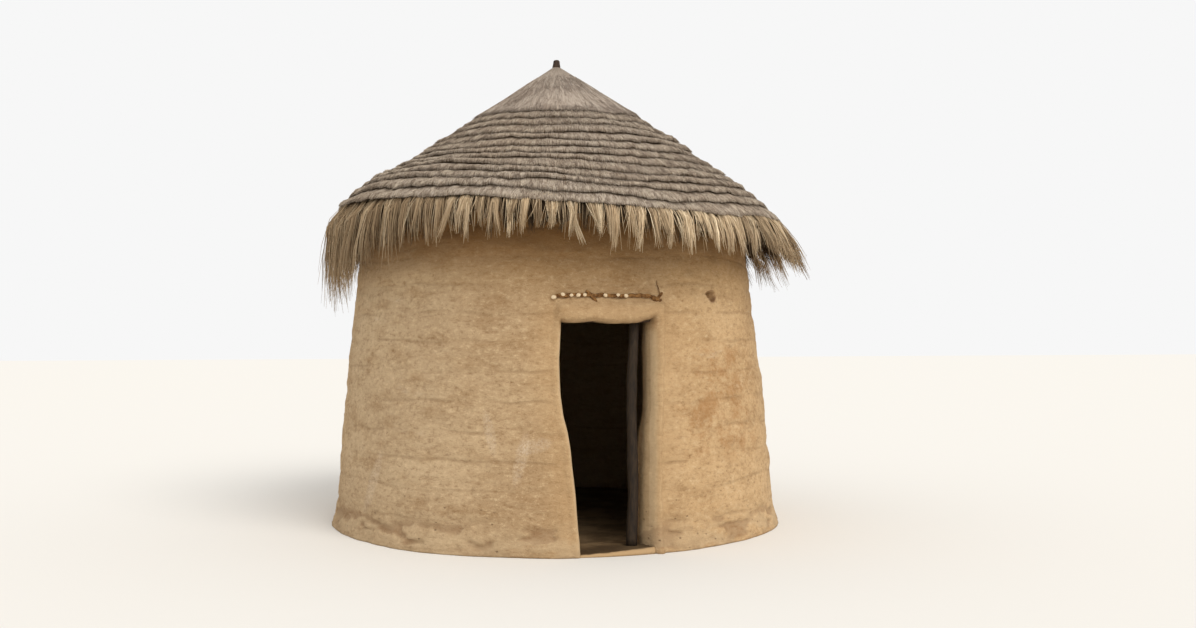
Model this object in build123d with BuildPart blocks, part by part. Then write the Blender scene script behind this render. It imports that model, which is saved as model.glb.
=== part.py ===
from build123d import *
import os
from math import cos, radians, sin, tan

# A round hut of coursed earth under a conical thatched roof, in millimetres.
# +Z is up, the ground is at Z = 0 and the doorway faces -Y.

# Earth wall
base_radius = 1975.0  # outer radius at the ground
batter = 275.0  # how far the wall leans in, from the ground to its head
base_thickness = 300.0
top_thickness = 210.0
lift_count = 12  # hand-laid lifts of wet earth, one above the other
lift_height = 228.0
lift_bulge = 5.0  # how far a lift swells between its two joints
toe_spread = 40.0  # how far the washed-down earth spreads at the ground
toe_height = 150.0
toe_shoulder = 8.0  # how far that earth still stands out at the top of the toe
head_round = 45.0  # rounding of the wall head
bay_count = 10  # the ring is built round in this many bays, the first over the doorway
bay_turn = 1.5  # degrees by which the bays are turned, to centre the first on the doorway
seam = 0.3  # the play left between pieces that bear on each other

# Doorway, narrow at the feet and wide at the shoulders
door_centre = 45.0  # how far right of the hut's axis the doorway stands
door_head = 1760.0
door_foot_half = 245.0
waist_height = 905.0
door_waist_half = 300.0
shoulder_rise = 150.0  # from the waist up to the shoulder
door_shoulder_half = 348.0
door_head_half = 358.0
door_easing = 140.0  # rounding of the waist and the shoulder

# Raised earth band round the doorway
band_proud = 45.0
band_left = 50.0  # its width beside the left jamb
band_right_foot = 175.0  # its width beside the right jamb, at the ground
band_right_head = 145.0
band_over = 165.0  # its height over the doorway

# Ridge over the doorway, in which small shells are set
ridge_over_band = 33.0  # from the top of the band to the ridge's middle
ridge_radius = 18.0
ridge_left_angle = 11.5
ridge_right_angle = 16.5

# Things in the doorway and inside it
sill_height = 70.0
sill_softening = 25.0
floor_thickness = 50.0
lintel_pole_radius = 29.0
lintel_pole_pitch = 60.0
lintel_pole_count = 3
lintel_bearing = 100.0  # how far a lintel pole runs into the wall at each end
lintel_cover = 20.0  # earth left in front of the outermost pole's ends
post_foot_radius = 47.0
post_head_radius = 40.0
post_play = 5.0  # from the post's foot to the right jamb
post_head_inset = 103.0  # from the post's middle to the right jamb, at the head

# Socket in the wall, right of the doorway
socket_radius = 38.0
socket_depth = 90.0
socket_height = 1975.0
socket_angle = 34.0  # degrees round from the doorway

# Roof frame
roof_pitch = 35.0
roof_clear = 71.0  # how far the slope under the thatch passes over the outer edge of the wall head
main_rafter_count = 10
rafter_foot_radius = 34.0
rafter_tip_radius = 19.0
rafter_set_back = 105.0  # how far the rafters end short of the eave's lip
jack_tip_reach = 430.0  # radius at which the short rafters end
apex_log_radius = 72.0
apex_log_length = 150.0
rafter_tip_sink = 30.0  # how far the log cuts into the tips of the long rafters
peg_radius = 26.0
peg_stand = 32.0  # how far the peg stands out of the thatch
peg_softening = 13.0
hoop_radius = 14.0
hoop_count = 6
hoop_foot_inset = 25.0  # from the rafters' feet in to the lowest hoop
hoop_tip_inset = 70.0  # from the short rafters' tips out to the highest hoop

# Thatch, laid in rings from the eave up
course_count = 12
cap_lip_reach = 765.0  # radius of the lip of the cap
eave_overhang = 440.0  # from the wall head's face out to the lowest lip
thatch_body = 100.0  # thickness where a ring comes out from under the next
thatch_lip = 125.0  # thickness at a lip
lip_lap = 35.0
lip_round = 12.0

# Straw fringe that hangs from the eave
fringe_stand_out = 60.0  # how much wider the circle of the tips is than the eave's lip
fringe_shift = 90.0  # how far that circle lies towards +X, since the left side hangs straighter
fringe_drop = 362.0  # from the eave's lip down to the tips
fringe_body = 50.0  # thickness half way down
fringe_tip_thickness = 16.0
notches_in_a_set = 32
notch_sets = [  # height as a part of the drop, width at the foot and lean as parts of the pitch
    (0.52, 1.33, 0.12),
    (0.69, 1.46, -0.11),
    (0.40, 1.24, 0.07),
    (0.75, 1.40, -0.16),
]

top_radius = base_radius - batter
wall_height = lift_count * lift_height
bay_angle = 360.0 / bay_count
door_bay_start = -90.0 + bay_turn - bay_angle / 2
pitch_sin = sin(radians(roof_pitch))
pitch_cos = cos(radians(roof_pitch))
slope_apex = wall_height + roof_clear + top_radius * pitch_sin / pitch_cos
eave_lip_reach = top_radius + eave_overhang
rafter_foot_reach = eave_lip_reach - rafter_set_back
fringe_reach = eave_lip_reach + fringe_stand_out
eave_clear = fringe_reach + fringe_shift + base_thickness  # a radius outside everything

os.makedirs("parts", exist_ok=True)


def finish(solid, name):
    solid.label = name
    export_step(solid, f"parts/{name}.step")


def outer_radius(height):
    return base_radius + (top_radius - base_radius) * height / wall_height


def inner_radius(height):
    thickness = base_thickness + (top_thickness - base_thickness) * height / wall_height
    return outer_radius(height) - thickness


def upright_plane(angle):
    """The plane through the hut's axis whose X points outwards at this angle and whose Y is up."""
    a = radians(angle)
    return Plane(origin=(0, 0, 0), x_dir=(cos(a), sin(a), 0), z_dir=(sin(a), -cos(a), 0))


def slope_plane(angle=0.0):
    """The same plane laid down the roof: X runs down the slope under the thatch, Y stands off it."""
    a = radians(angle)
    down = (cos(a) * pitch_cos, sin(a) * pitch_cos, -pitch_sin)
    return Plane(origin=(0, 0, slope_apex), x_dir=down, z_dir=(sin(a), -cos(a), 0))


def along_slope(reach, off):
    """How far down the slope a point lies, from its radius and its height off the slope."""
    return (reach - off * pitch_sin) / pitch_cos


# The earth wall. Each lift swells a little between its joints.
def wall_section():
    with BuildSketch(Plane.XY) as section:
        with BuildLine():
            low = (outer_radius(toe_height) + toe_shoulder, toe_height)
            Line((inner_radius(0), 0), (outer_radius(0) + toe_spread, 0))
            Line((outer_radius(0) + toe_spread, 0), low)
            for lift in range(lift_count):
                z0 = max(lift * lift_height, toe_height)
                z1 = (lift + 1) * lift_height
                start = low if lift == 0 else (outer_radius(z0), z0)
                middle = (z0 + z1) / 2
                ThreePointArc(start, (outer_radius(middle) + lift_bulge, middle), (outer_radius(z1), z1))
            Line((outer_radius(wall_height), wall_height), (inner_radius(wall_height), wall_height))
            Line((inner_radius(wall_height), wall_height), (inner_radius(0), 0))
        make_face()
        fillet(section.vertices().group_by(Axis.Y)[-1], head_round)
    return section.sketch


wall_profile = wall_section()


def rafter(angle, tip_reach, swell=0.0):
    """A tapered pole laid down the slope. A swell makes the same pole fatter, to cut its seat."""
    plane = slope_plane(angle)
    depth = 2 * hoop_radius + 2 * seam
    ends = [(tip_reach, rafter_tip_radius), (rafter_foot_reach, rafter_foot_radius)]
    with BuildPart() as pole:
        for reach, radius in ends:
            off = -(depth + radius)
            centre = plane.from_local_coords((along_slope(reach, off), off, 0))
            with BuildSketch(Plane(origin=centre, x_dir=plane.y_dir, z_dir=plane.x_dir)):
                Circle(radius + swell)
        loft()
    return pole.part


main_tip_reach = apex_log_radius - rafter_tip_sink
rafter_pitch = 360.0 / main_rafter_count
main_angles = [-90.0 + rafter_pitch * (n + 0.25) for n in range(main_rafter_count)]
jack_angles = [angle - rafter_pitch / 2 for angle in main_angles]


def wall_bay(number):
    """One bay of the ring, counted round from the doorway, with the seats of its rafters."""
    start = door_bay_start + number * bay_angle
    seats = [
        rafter(angle, tip_reach, swell=seam)
        for angles, tip_reach in [(main_angles, main_tip_reach), (jack_angles, jack_tip_reach)]
        for angle in angles
        if (angle - start) % 360.0 < bay_angle
    ]
    with BuildPart() as bay:
        with BuildSketch(upright_plane(start)):
            add(wall_profile)
        revolve(axis=Axis.Z, revolution_arc=bay_angle)
        add(seats, mode=Mode.SUBTRACT)
    return bay.part


# The doorway's outline, drawn on the front of the hut.
front = Plane.XZ.offset(eave_clear)
through_wall = -(eave_clear - inner_radius(wall_height) + base_thickness)


def doorway_outline():
    half = [
        (door_foot_half, 0),
        (door_waist_half, waist_height),
        (door_shoulder_half, waist_height + shoulder_rise),
        (door_head_half, door_head),
    ]
    with BuildSketch(Plane.XY) as outline:
        with BuildLine():
            right = [(door_centre + x, z) for x, z in half]
            left = [(door_centre - x, z) for x, z in reversed(half)]
            Polyline(*right, *left, close=True)
        make_face()
        easing = outline.vertices().filter_by_position(Axis.Y, waist_height - 1, waist_height + shoulder_rise + 1)
        fillet(easing, door_easing)
    return outline.sketch


doorway = doorway_outline()
door_bay = wall_bay(0)

with BuildPart() as beside_door:
    add(door_bay)
    split(bisect_by=Plane.XY.offset(door_head), keep=Keep.BOTTOM)
    with BuildSketch(front):
        add(doorway)
    extrude(amount=through_wall, mode=Mode.SUBTRACT)

left_jamb, right_jamb = beside_door.solids().sort_by(Axis.X)
finish(left_jamb, "wall_left_of_door")
finish(right_jamb, "wall_right_of_door")

# Lintel poles lie side by side through the wall, on the two jambs.
lintel_half = door_head_half + lintel_bearing
lintel_end = door_centre + lintel_half
lintel_face = (outer_radius(door_head) ** 2 - lintel_end**2) ** 0.5 - lintel_cover
lintel_centre = -lintel_face + lintel_pole_radius + lintel_pole_pitch * (lintel_pole_count - 1) / 2
lintel_axis_height = door_head + lintel_pole_radius + seam


def lintel(swell=0.0):
    with BuildPart() as poles:
        with BuildSketch(Plane.YZ.offset(door_centre - lintel_half - swell)):
            with Locations((lintel_centre, lintel_axis_height)):
                with GridLocations(lintel_pole_pitch, 1, lintel_pole_count, 1):
                    Circle(lintel_pole_radius + swell)
        extrude(amount=2 * (lintel_half + swell))
    return poles.part


finish(lintel(), "lintel_poles")

lintel_seat = lintel(swell=seam)
with BuildPart() as wall_over_door:
    add(door_bay)
    split(bisect_by=Plane.XY.offset(door_head), keep=Keep.TOP)
    add(lintel_seat, mode=Mode.SUBTRACT)

finish(wall_over_door.part, "wall_over_door")

for number in range(1, bay_count):
    bay = wall_bay(number)
    with BuildPart() as wall:
        add(bay)
        if abs(bay_turn + number * bay_angle - socket_angle) < bay_angle / 2:
            turn = radians(socket_angle - 90.0)
            out = (cos(turn), sin(turn), 0)
            face_radius = outer_radius(socket_height) + lift_bulge
            mouth = (face_radius * out[0], face_radius * out[1], socket_height)
            with BuildSketch(Plane(origin=mouth, z_dir=out)):
                Circle(socket_radius)
            extrude(amount=-socket_depth, mode=Mode.SUBTRACT)
    finish(wall.part, f"wall_{number}")

# The raised band round the doorway, in three lengths that lie on the wall.
band_top = door_head + band_over
band_section = [
    (outer_radius(0) - band_proud, 0),
    (outer_radius(0) + toe_spread + band_proud / 2, 0),
    (outer_radius(toe_height) + band_proud, toe_height),
    (outer_radius(band_top) + band_proud, band_top),
    (outer_radius(band_top) - band_proud, band_top),
]
band_outline = [
    (door_centre - door_foot_half - band_left, 0),
    (door_centre - door_waist_half - band_left, waist_height),
    (door_centre - door_shoulder_half - band_left, waist_height + shoulder_rise),
    (door_centre - door_head_half - band_left, band_top),
    (door_centre + door_head_half + band_right_head, band_top),
    (door_centre + door_foot_half + band_right_foot, 0),
]

with BuildPart() as door_band:
    with BuildSketch(upright_plane(door_bay_start)):
        Polygon(*band_section, align=None)
    revolve(axis=Axis.Z, revolution_arc=bay_angle)
    with BuildSketch(front):
        Polygon(*band_outline, align=None)
        add(doorway, mode=Mode.SUBTRACT)
    extrude(amount=through_wall, mode=Mode.INTERSECT)
    add(door_bay, mode=Mode.SUBTRACT)

with BuildPart() as door_band_head:
    add(door_band.part)
    split(bisect_by=Plane.XY.offset(door_head), keep=Keep.TOP)

with BuildPart() as door_band_sides:
    add(door_band.part)
    split(bisect_by=Plane.XY.offset(door_head), keep=Keep.BOTTOM)

band_left_side, band_right_side = door_band_sides.solids().sort_by(Axis.X)
finish(door_band_head.part, "door_band_head")
finish(band_left_side, "door_band_left")
finish(band_right_side, "door_band_right")

ridge_height = band_top + ridge_over_band
with BuildPart() as shell_ridge:
    with BuildSketch(upright_plane(-90.0 - ridge_left_angle)):
        with Locations((outer_radius(ridge_height) + lift_bulge, ridge_height)):
            Circle(ridge_radius)
    revolve(axis=Axis.Z, revolution_arc=ridge_left_angle + ridge_right_angle)
    add(door_bay, mode=Mode.SUBTRACT)

finish(shell_ridge.part, "shell_ridge")

# The sill fills the foot of the doorway, and the floor the ring.
with BuildPart() as threshold:
    with BuildSketch(upright_plane(door_bay_start)):
        add(wall_profile)
    revolve(axis=Axis.Z, revolution_arc=bay_angle)
    with BuildSketch(front):
        with Locations((door_centre, 0)):
            Rectangle(2 * (door_foot_half - seam), 2 * sill_height)
    extrude(amount=through_wall, mode=Mode.INTERSECT)
    long_edges = threshold.edges().group_by(Axis.Z)[-1].sort_by(Axis.Y)
    fillet([long_edges[0], long_edges[-1]], sill_softening)

finish(threshold.part, "threshold")

with BuildPart() as floor:
    with BuildSketch(Plane.XZ):
        Polygon(
            (0, 0),
            (inner_radius(0) - seam, 0),
            (inner_radius(floor_thickness) - seam, floor_thickness),
            (0, floor_thickness),
            align=None,
        )
    revolve(axis=Axis.Z)

finish(floor.part, "earth_floor")

# A peeled pole stands on the sill, against the right jamb, under the lintel.
post_foot_x = door_centre + door_foot_half - post_play - post_foot_radius
post_head_x = door_centre + door_head_half - post_head_inset
post_foot_y = -(outer_radius(0) + inner_radius(0)) / 2
with BuildPart() as door_post:
    with BuildSketch(Plane.XY.offset(sill_height)):
        with Locations((post_foot_x, post_foot_y)):
            Circle(post_foot_radius)
    with BuildSketch(Plane.XY.offset(door_head)):
        with Locations((post_head_x, lintel_centre)):
            Circle(post_head_radius)
    loft()

finish(door_post.part, "door_post")

# Roof frame: a short log at the apex, poles down the slope, and hoops tied over them.
log_top = slope_apex - (apex_log_radius + seam) * tan(radians(roof_pitch)) - seam
peg_top = slope_apex + thatch_lip / pitch_cos + peg_stand

with BuildPart() as apex_log:
    with BuildSketch(Plane.XY.offset(log_top - apex_log_length)):
        Circle(apex_log_radius)
    extrude(amount=apex_log_length)
    with BuildSketch(Plane.XY.offset(log_top)):
        Circle(peg_radius)
    extrude(amount=peg_top - log_top)
    fillet(apex_log.edges().group_by(Axis.Z)[-1], peg_softening)

finish(apex_log.part, "apex_log")

main_poles = [rafter(angle, main_tip_reach) for angle in main_angles]
with BuildPart() as main_rafters:
    add(main_poles)
    with BuildSketch(Plane.XY.offset(log_top - 2 * apex_log_length)):
        Circle(apex_log_radius + seam)
    extrude(amount=3 * apex_log_length, mode=Mode.SUBTRACT)

finish(main_rafters.part, "main_rafters")

jack_poles = [rafter(angle, jack_tip_reach) for angle in jack_angles]
with BuildPart() as jack_rafters:
    add(jack_poles)

finish(jack_rafters.part, "jack_rafters")

lowest_hoop = rafter_foot_reach - hoop_foot_inset
highest_hoop = jack_tip_reach + hoop_tip_inset
hoop_step = (lowest_hoop - highest_hoop) / (hoop_count - 1)
for number in range(1, hoop_count + 1):
    reach = lowest_hoop - hoop_step * (number - 1)
    off = -(hoop_radius + seam)
    with BuildPart() as hoop:
        with BuildSketch(slope_plane()):
            with Locations((along_slope(reach, off), off)):
                Circle(hoop_radius)
        revolve(axis=Axis.Z)
    finish(hoop.part, f"hoop_{number}")

# Thatch. Every ring comes out from under the lip of the ring above it.
lip_step = (eave_lip_reach - cap_lip_reach) / course_count
lip_slopes = [along_slope(cap_lip_reach + lip_step * n, thatch_lip) for n in range(course_count + 1)]
lip_rise = (thatch_lip - thatch_body) / (lip_step / pitch_cos + lip_lap)


def thatch_section(top, lip):
    """The section of one ring, from where it comes out at the top to its lip."""
    foot = lip - lip_lap - seam
    lap_height = thatch_body + lip_lap * lip_rise + 2 * seam
    with BuildSketch(slope_plane()) as section:
        Polygon(
            (top, 0),
            (foot, 0),
            (foot, thatch_body + 2 * seam),
            (lip, lap_height),
            (lip, thatch_lip),
            (top, thatch_body),
            align=None,
        )
        lip_corner = section.vertices().sort_by(Axis.Z).filter_by(lambda v: abs(slope_height(v) - thatch_lip) < 1)
        fillet(lip_corner, lip_round)
    return section.sketch


def slope_height(vertex):
    return slope_plane().to_local_coords(vertex.center()).Y


for number in range(1, course_count + 1):
    lip = lip_slopes[course_count + 1 - number]
    top = lip_slopes[course_count - number] - lip_lap
    section = thatch_section(top, lip)
    with BuildPart() as ring:
        add(section)
        revolve(axis=Axis.Z)
    finish(ring.part, f"thatch_ring_{number}")

cap_lip = lip_slopes[0]
cap_foot = cap_lip - lip_lap - seam
with BuildPart() as thatch_cap:
    with BuildSketch(slope_plane()):
        Polygon(
            (0, 0),
            (cap_foot, 0),
            (cap_foot, thatch_body + 2 * seam),
            (cap_lip, thatch_body + lip_lap * lip_rise + 2 * seam),
            (cap_lip, thatch_lip),
            (-thatch_lip * tan(radians(roof_pitch)), thatch_lip),
            align=None,
        )
    revolve(axis=Axis.Z)
    with BuildSketch(Plane.XY):
        Circle(peg_radius + seam)
    extrude(amount=2 * peg_top, mode=Mode.SUBTRACT)

finish(thatch_cap.part, "thatch_cap")

# The fringe under the eave: long straw that bends over from the slope and hangs in locks.
fringe_root = lip_slopes[course_count] - lip_lap
fringe_foot = slope_plane().from_local_coords((lip_slopes[course_count], thatch_lip, 0)).Z - fringe_drop
root_top = slope_plane().from_local_coords((fringe_root, thatch_body, 0))
root_foot = slope_plane().from_local_coords((fringe_root, 0, 0))
fringe_height = root_top.Z - fringe_foot
bend_reach = fringe_reach - fringe_stand_out / 2


def notch(height, width, lean):
    """The gap between two locks, cut outwards from the root of the fringe."""
    with BuildPart() as gap:
        with BuildSketch(Plane.YZ.offset(root_foot.X - fringe_tip_thickness)):
            Polygon(
                (-width * lock_pitch / 2, fringe_foot - seam),
                (width * lock_pitch / 2, fringe_foot - seam),
                (lean * lock_pitch, fringe_foot + height * fringe_drop),
                align=None,
            )
        extrude(amount=eave_clear - root_foot.X)
    return gap.part


notch_pitch = 360.0 / notches_in_a_set
lock_pitch = fringe_reach * radians(notch_pitch) / len(notch_sets)
gaps = [notch(*shape) for shape in notch_sets]
outer_rounds = [  # radius, shift and height of the circles that the straw runs through
    (root_top.X, 0, root_top.Z),
    (root_top.X + (bend_reach - root_top.X) * 0.6, 0.1 * fringe_shift, root_top.Z - 0.13 * fringe_height),
    (bend_reach, 0.5 * fringe_shift, root_top.Z - 0.5 * fringe_height),
    (fringe_reach, fringe_shift, fringe_foot),
]
inner_rounds = [
    (root_foot.X, 0, root_foot.Z),
    (bend_reach - fringe_body, 0.5 * fringe_shift, root_top.Z - 0.5 * fringe_height),
    (fringe_reach - fringe_tip_thickness, fringe_shift, fringe_foot),
]


def straw_bell(rounds):
    """A bell through a few level circles, each a little farther to the right."""
    with BuildPart() as bell:
        for radius, shift, height in rounds:
            with BuildSketch(Plane.XY.offset(height)):
                with Locations((shift, 0)):
                    Circle(radius)
        loft()
    return bell.part


with BuildPart() as eave_fringe:
    add(straw_bell(outer_rounds))
    add(straw_bell(inner_rounds), mode=Mode.SUBTRACT)
    with BuildSketch(Plane.XZ):
        Polygon(
            (0, root_foot.Z),
            (root_foot.X, root_foot.Z),
            (root_top.X, root_top.Z),
            (0, root_top.Z),
            align=None,
        )
    revolve(axis=Axis.Z, mode=Mode.SUBTRACT)
    for place, gap in enumerate(gaps):
        first = notch_pitch * place / len(gaps)
        with PolarLocations(0, notches_in_a_set, start_angle=first):
            add(gap, mode=Mode.SUBTRACT)

finish(eave_fringe.part, "eave_fringe")
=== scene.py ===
# %% [markdown]
# # A round earth hut under thatch
# A wall of wet earth is laid up by hand in lifts, a doorway is left in it, and a cone of poles is
# thatched with lapped rings of grass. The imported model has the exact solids. This script dresses
# them: it keeps their places and sizes, and makes the surfaces that a hand, rain and sun leave.

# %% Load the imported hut
import math

import bpy
import numpy as np
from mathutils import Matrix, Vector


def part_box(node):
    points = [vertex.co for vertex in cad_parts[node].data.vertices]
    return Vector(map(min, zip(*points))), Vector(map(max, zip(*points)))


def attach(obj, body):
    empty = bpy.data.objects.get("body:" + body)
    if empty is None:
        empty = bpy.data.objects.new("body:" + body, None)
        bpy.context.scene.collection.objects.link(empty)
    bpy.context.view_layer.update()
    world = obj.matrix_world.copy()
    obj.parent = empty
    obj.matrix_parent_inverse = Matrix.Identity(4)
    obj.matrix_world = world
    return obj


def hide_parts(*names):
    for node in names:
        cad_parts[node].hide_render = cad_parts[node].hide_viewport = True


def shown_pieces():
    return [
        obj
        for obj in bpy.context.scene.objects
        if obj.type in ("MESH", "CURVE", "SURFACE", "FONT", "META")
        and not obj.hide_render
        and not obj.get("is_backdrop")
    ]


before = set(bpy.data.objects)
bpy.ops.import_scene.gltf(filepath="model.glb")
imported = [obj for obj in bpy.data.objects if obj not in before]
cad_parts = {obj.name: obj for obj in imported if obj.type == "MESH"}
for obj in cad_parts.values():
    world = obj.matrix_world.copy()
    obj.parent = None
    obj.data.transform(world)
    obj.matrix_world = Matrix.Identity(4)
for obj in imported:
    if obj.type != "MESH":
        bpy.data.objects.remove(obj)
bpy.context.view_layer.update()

# %% [markdown]
# ## Where the viewer stands
# The camera comes before any piece, because it tells which side is looked at most. It stands at eye
# height, 11 degrees left of the doorway, and is turned a little to the right of the hut's axis, so the
# hut sits left of the middle of the picture.

# %% Camera
def put_in_scene(name, data):
    """An object made from its data and linked into the scene."""
    made = bpy.data.objects.new(name, data)
    bpy.context.scene.collection.objects.link(made)
    return made


eye = (-2.055, -10.572, 1.70)
turn_right = math.radians(13.05)
tilt_up = math.radians(0.78)
sensor_mm = 36.0
picture_width_px = 1196
focal_px = 1174.0

camera = put_in_scene("camera", bpy.data.cameras.new("camera"))
camera.data.sensor_width = sensor_mm
camera.data.lens = focal_px / picture_width_px * sensor_mm
camera.location = eye
camera.rotation_euler = (math.pi / 2 + tilt_up, 0, -turn_right)
bpy.context.scene.camera = camera
print("lens in mm:", round(camera.data.lens, 2))

# %% [markdown]
# ## Light and floor
# Haze makes the light soft, so most of it comes from the whole sky, and a broad sun at the front
# right only adds form. The sky that the camera sees is a separate, paler one: Light Path tells the
# world which rays come from the camera, and the hut's own light stays plain.

# %% Sky, sun and floor
bpy.context.scene.view_settings.view_transform = "Standard"


def make_sky(light_strength, seen_colour):
    """One sky gives the light. The other is what the camera, mirrors and glass see."""
    world = bpy.data.worlds.new("hazy_sky")
    bpy.context.scene.world = world
    world.use_nodes = True
    nodes, links = world.node_tree.nodes, world.node_tree.links
    nodes.clear()
    path = nodes.new("ShaderNodeLightPath")
    choose = nodes.new("ShaderNodeMixShader")
    out = nodes.new("ShaderNodeOutputWorld")
    seen_ray = path.outputs["Is Camera Ray"]
    for ray in ("Is Glossy Ray", "Is Transmission Ray"):
        either = nodes.new("ShaderNodeMath")
        either.operation = "MAXIMUM"
        links.new(seen_ray, either.inputs[0])
        links.new(path.outputs[ray], either.inputs[1])
        seen_ray = either.outputs[0]
    links.new(seen_ray, choose.inputs["Fac"])
    skies = [((1.0, 0.985, 0.96), light_strength), (seen_colour, 1.0)]
    for place, (colour, strength) in enumerate(skies, 1):
        sky = nodes.new("ShaderNodeBackground")
        sky.inputs["Color"].default_value = (*colour, 1)
        sky.inputs["Strength"].default_value = strength
        links.new(sky.outputs[0], choose.inputs[place])
    links.new(choose.outputs[0], out.inputs["Surface"])


def add_sun(name, strength, spread_deg, towards):
    """A broad sun. towards is the direction in which its light travels."""
    sun = put_in_scene(name, bpy.data.lights.new(name, "SUN"))
    sun.data.energy = strength
    sun.data.angle = math.radians(spread_deg)
    sun.data.color = (1.0, 0.965, 0.91)
    x, y, z = towards
    sun.rotation_euler = (math.atan2(math.hypot(x, y), -z), 0, math.atan2(x, -y) + math.pi)


make_sky(light_strength=0.82, seen_colour=(0.93, 0.93, 0.93))
add_sun("sun_front_right", strength=1.75, spread_deg=36, towards=(-0.30, 0.70, -0.72))

floor_reach, floor_level = 60.0, -0.002
floor_mesh = bpy.data.meshes.new("studio_floor")
corners = [(-floor_reach, -floor_reach), (floor_reach, -floor_reach)]
corners += [(-x, -y) for x, y in corners]
floor_mesh.from_pydata([(x, y, floor_level) for x, y in corners], [], [(0, 1, 2, 3)])
put_in_scene("studio_floor", floor_mesh)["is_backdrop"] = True

# %% [markdown]
# ## Helpers for shapes
# Earth and grass have no straight lines. Everything below leans on one noise function, written for
# whole arrays at once. It is read at points in space, never at an angle, so a ring has no seam.

# %% Noise


def corner_value(ix, iy, iz, seed):
    """The same random number, from 0 to 1, each time for one corner of the noise's lattice."""
    h = ix * 374761393 + iy * 668265263 + iz * 1274126177 + seed * 974634777
    h = (h ^ (h >> 13)) * 1274126177
    h = h ^ (h >> 16)
    return (h & 0xFFFFFF) / float(0xFFFFFF)


def noise(x, y, z=0.0, seed=0):
    """Smooth noise from -1 to 1, with one lump to a unit of length."""
    point = np.stack(np.broadcast_arrays(x, y, z)).astype(float)
    cell = np.floor(point)
    t = point - cell
    t = t * t * (3 - 2 * t)
    cell = cell.astype(np.int64)
    total = 0.0
    for dx in (0, 1):
        for dy in (0, 1):
            for dz in (0, 1):
                near_x, near_y = t[0] if dx else 1 - t[0], t[1] if dy else 1 - t[1]
                weight = near_x * near_y * (t[2] if dz else 1 - t[2])
                total = total + weight * corner_value(cell[0] + dx, cell[1] + dy, cell[2] + dz, seed)
    return 2 * total - 1


def smooth_step(low, high, value):
    """0 below low, 1 above high, and an easy slope between."""
    t = np.clip((value - low) / (high - low), 0, 1)
    return t * t * (3 - 2 * t)


def bell(value, centre, width):
    """1 at the centre, and fading to both sides."""
    return np.exp(-(((value - centre) / width) ** 2))


def from_axis(r, angle, z):
    """A point from its distance from the hut's axis, its angle round from the doorway and its height."""
    return np.stack(np.broadcast_arrays(r * np.sin(angle), -r * np.cos(angle), z), axis=-1)


def sides_of(angle):
    """How far to the right and how far to the left a direction points, each from 0 to 1."""
    return np.clip(np.sin(angle), 0, 1), np.clip(-np.sin(angle), 0, 1)


print("noise at three points:", noise(np.array([0.2, 0.7, 1.9]), 0.5).round(3))

# %% [markdown]
# Meshes are built as arrays of points and lists of faces. A small function turns them into an object
# whose vertices already stand in the hut's frame, and stores any value that a finish will read.

# %% Mesh objects


def new_object(name, points, faces, values=None, edges=()):
    """A mesh object at the origin. values holds, under a name, a number or a vector for each point."""
    mesh = bpy.data.meshes.new(name)
    mesh.from_pydata(np.asarray(points).tolist(), edges, faces)
    for key, numbers in (values or {}).items():
        numbers = np.asarray(numbers, dtype=np.float32)
        kind, field = ("FLOAT_VECTOR", "vector") if numbers.ndim == 2 else ("FLOAT", "value")
        mesh.attributes.new(key, kind, "POINT").data.foreach_set(field, numbers.ravel())
    mesh.polygons.foreach_set("use_smooth", [True] * len(mesh.polygons))
    mesh.update()
    return put_in_scene(name, mesh)


def applied(piece):
    """Turns a piece's modifiers into plain mesh and removes them."""
    graph = bpy.context.evaluated_depsgraph_get()
    shaped, old = piece.evaluated_get(graph), piece.data
    plain = bpy.data.meshes.new_from_object(shaped, preserve_all_data_layers=True, depsgraph=graph)
    piece.modifiers.clear()
    piece.data = plain
    bpy.data.meshes.remove(old)
    plain.name = piece.name
    return piece


def triangles(piece):
    return sum(len(p.vertices) - 2 for p in piece.data.polygons)


def hand_over(piece, slot, *nodes):
    """Gives a piece to the frame: it rides on the root and replaces its nodes. Its slot is not used."""
    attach(piece, "root")
    if nodes:
        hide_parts(*nodes)
    print(piece.name, "has", triangles(piece), "triangles")
    return piece


def grid_faces(rows, columns, wrap_rows=False, wrap_columns=False):
    """Quads over a grid whose points are numbered row by row."""
    last_row = rows if wrap_rows else rows - 1
    last_column = columns if wrap_columns else columns - 1
    i, j = np.meshgrid(np.arange(last_row), np.arange(last_column), indexing="ij")
    i2, j2 = (i + 1) % rows, (j + 1) % columns
    quads = np.stack([i * columns + j, i * columns + j2, i2 * columns + j2, i2 * columns + j], axis=-1)
    return [tuple(quad) for quad in quads.reshape(-1, 4).tolist()]


print("helpers ready")

# %% [markdown]
# ## Helpers for finishes
# A finish is a small sum: base colour times grain, minus the dark of a joint. Blender writes such a
# sum as a web of Math nodes, which is hard to read. The class Number wraps a socket, so that the sum
# can be written as Python, and Finish makes any other node.

# %% Shader sums


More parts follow.
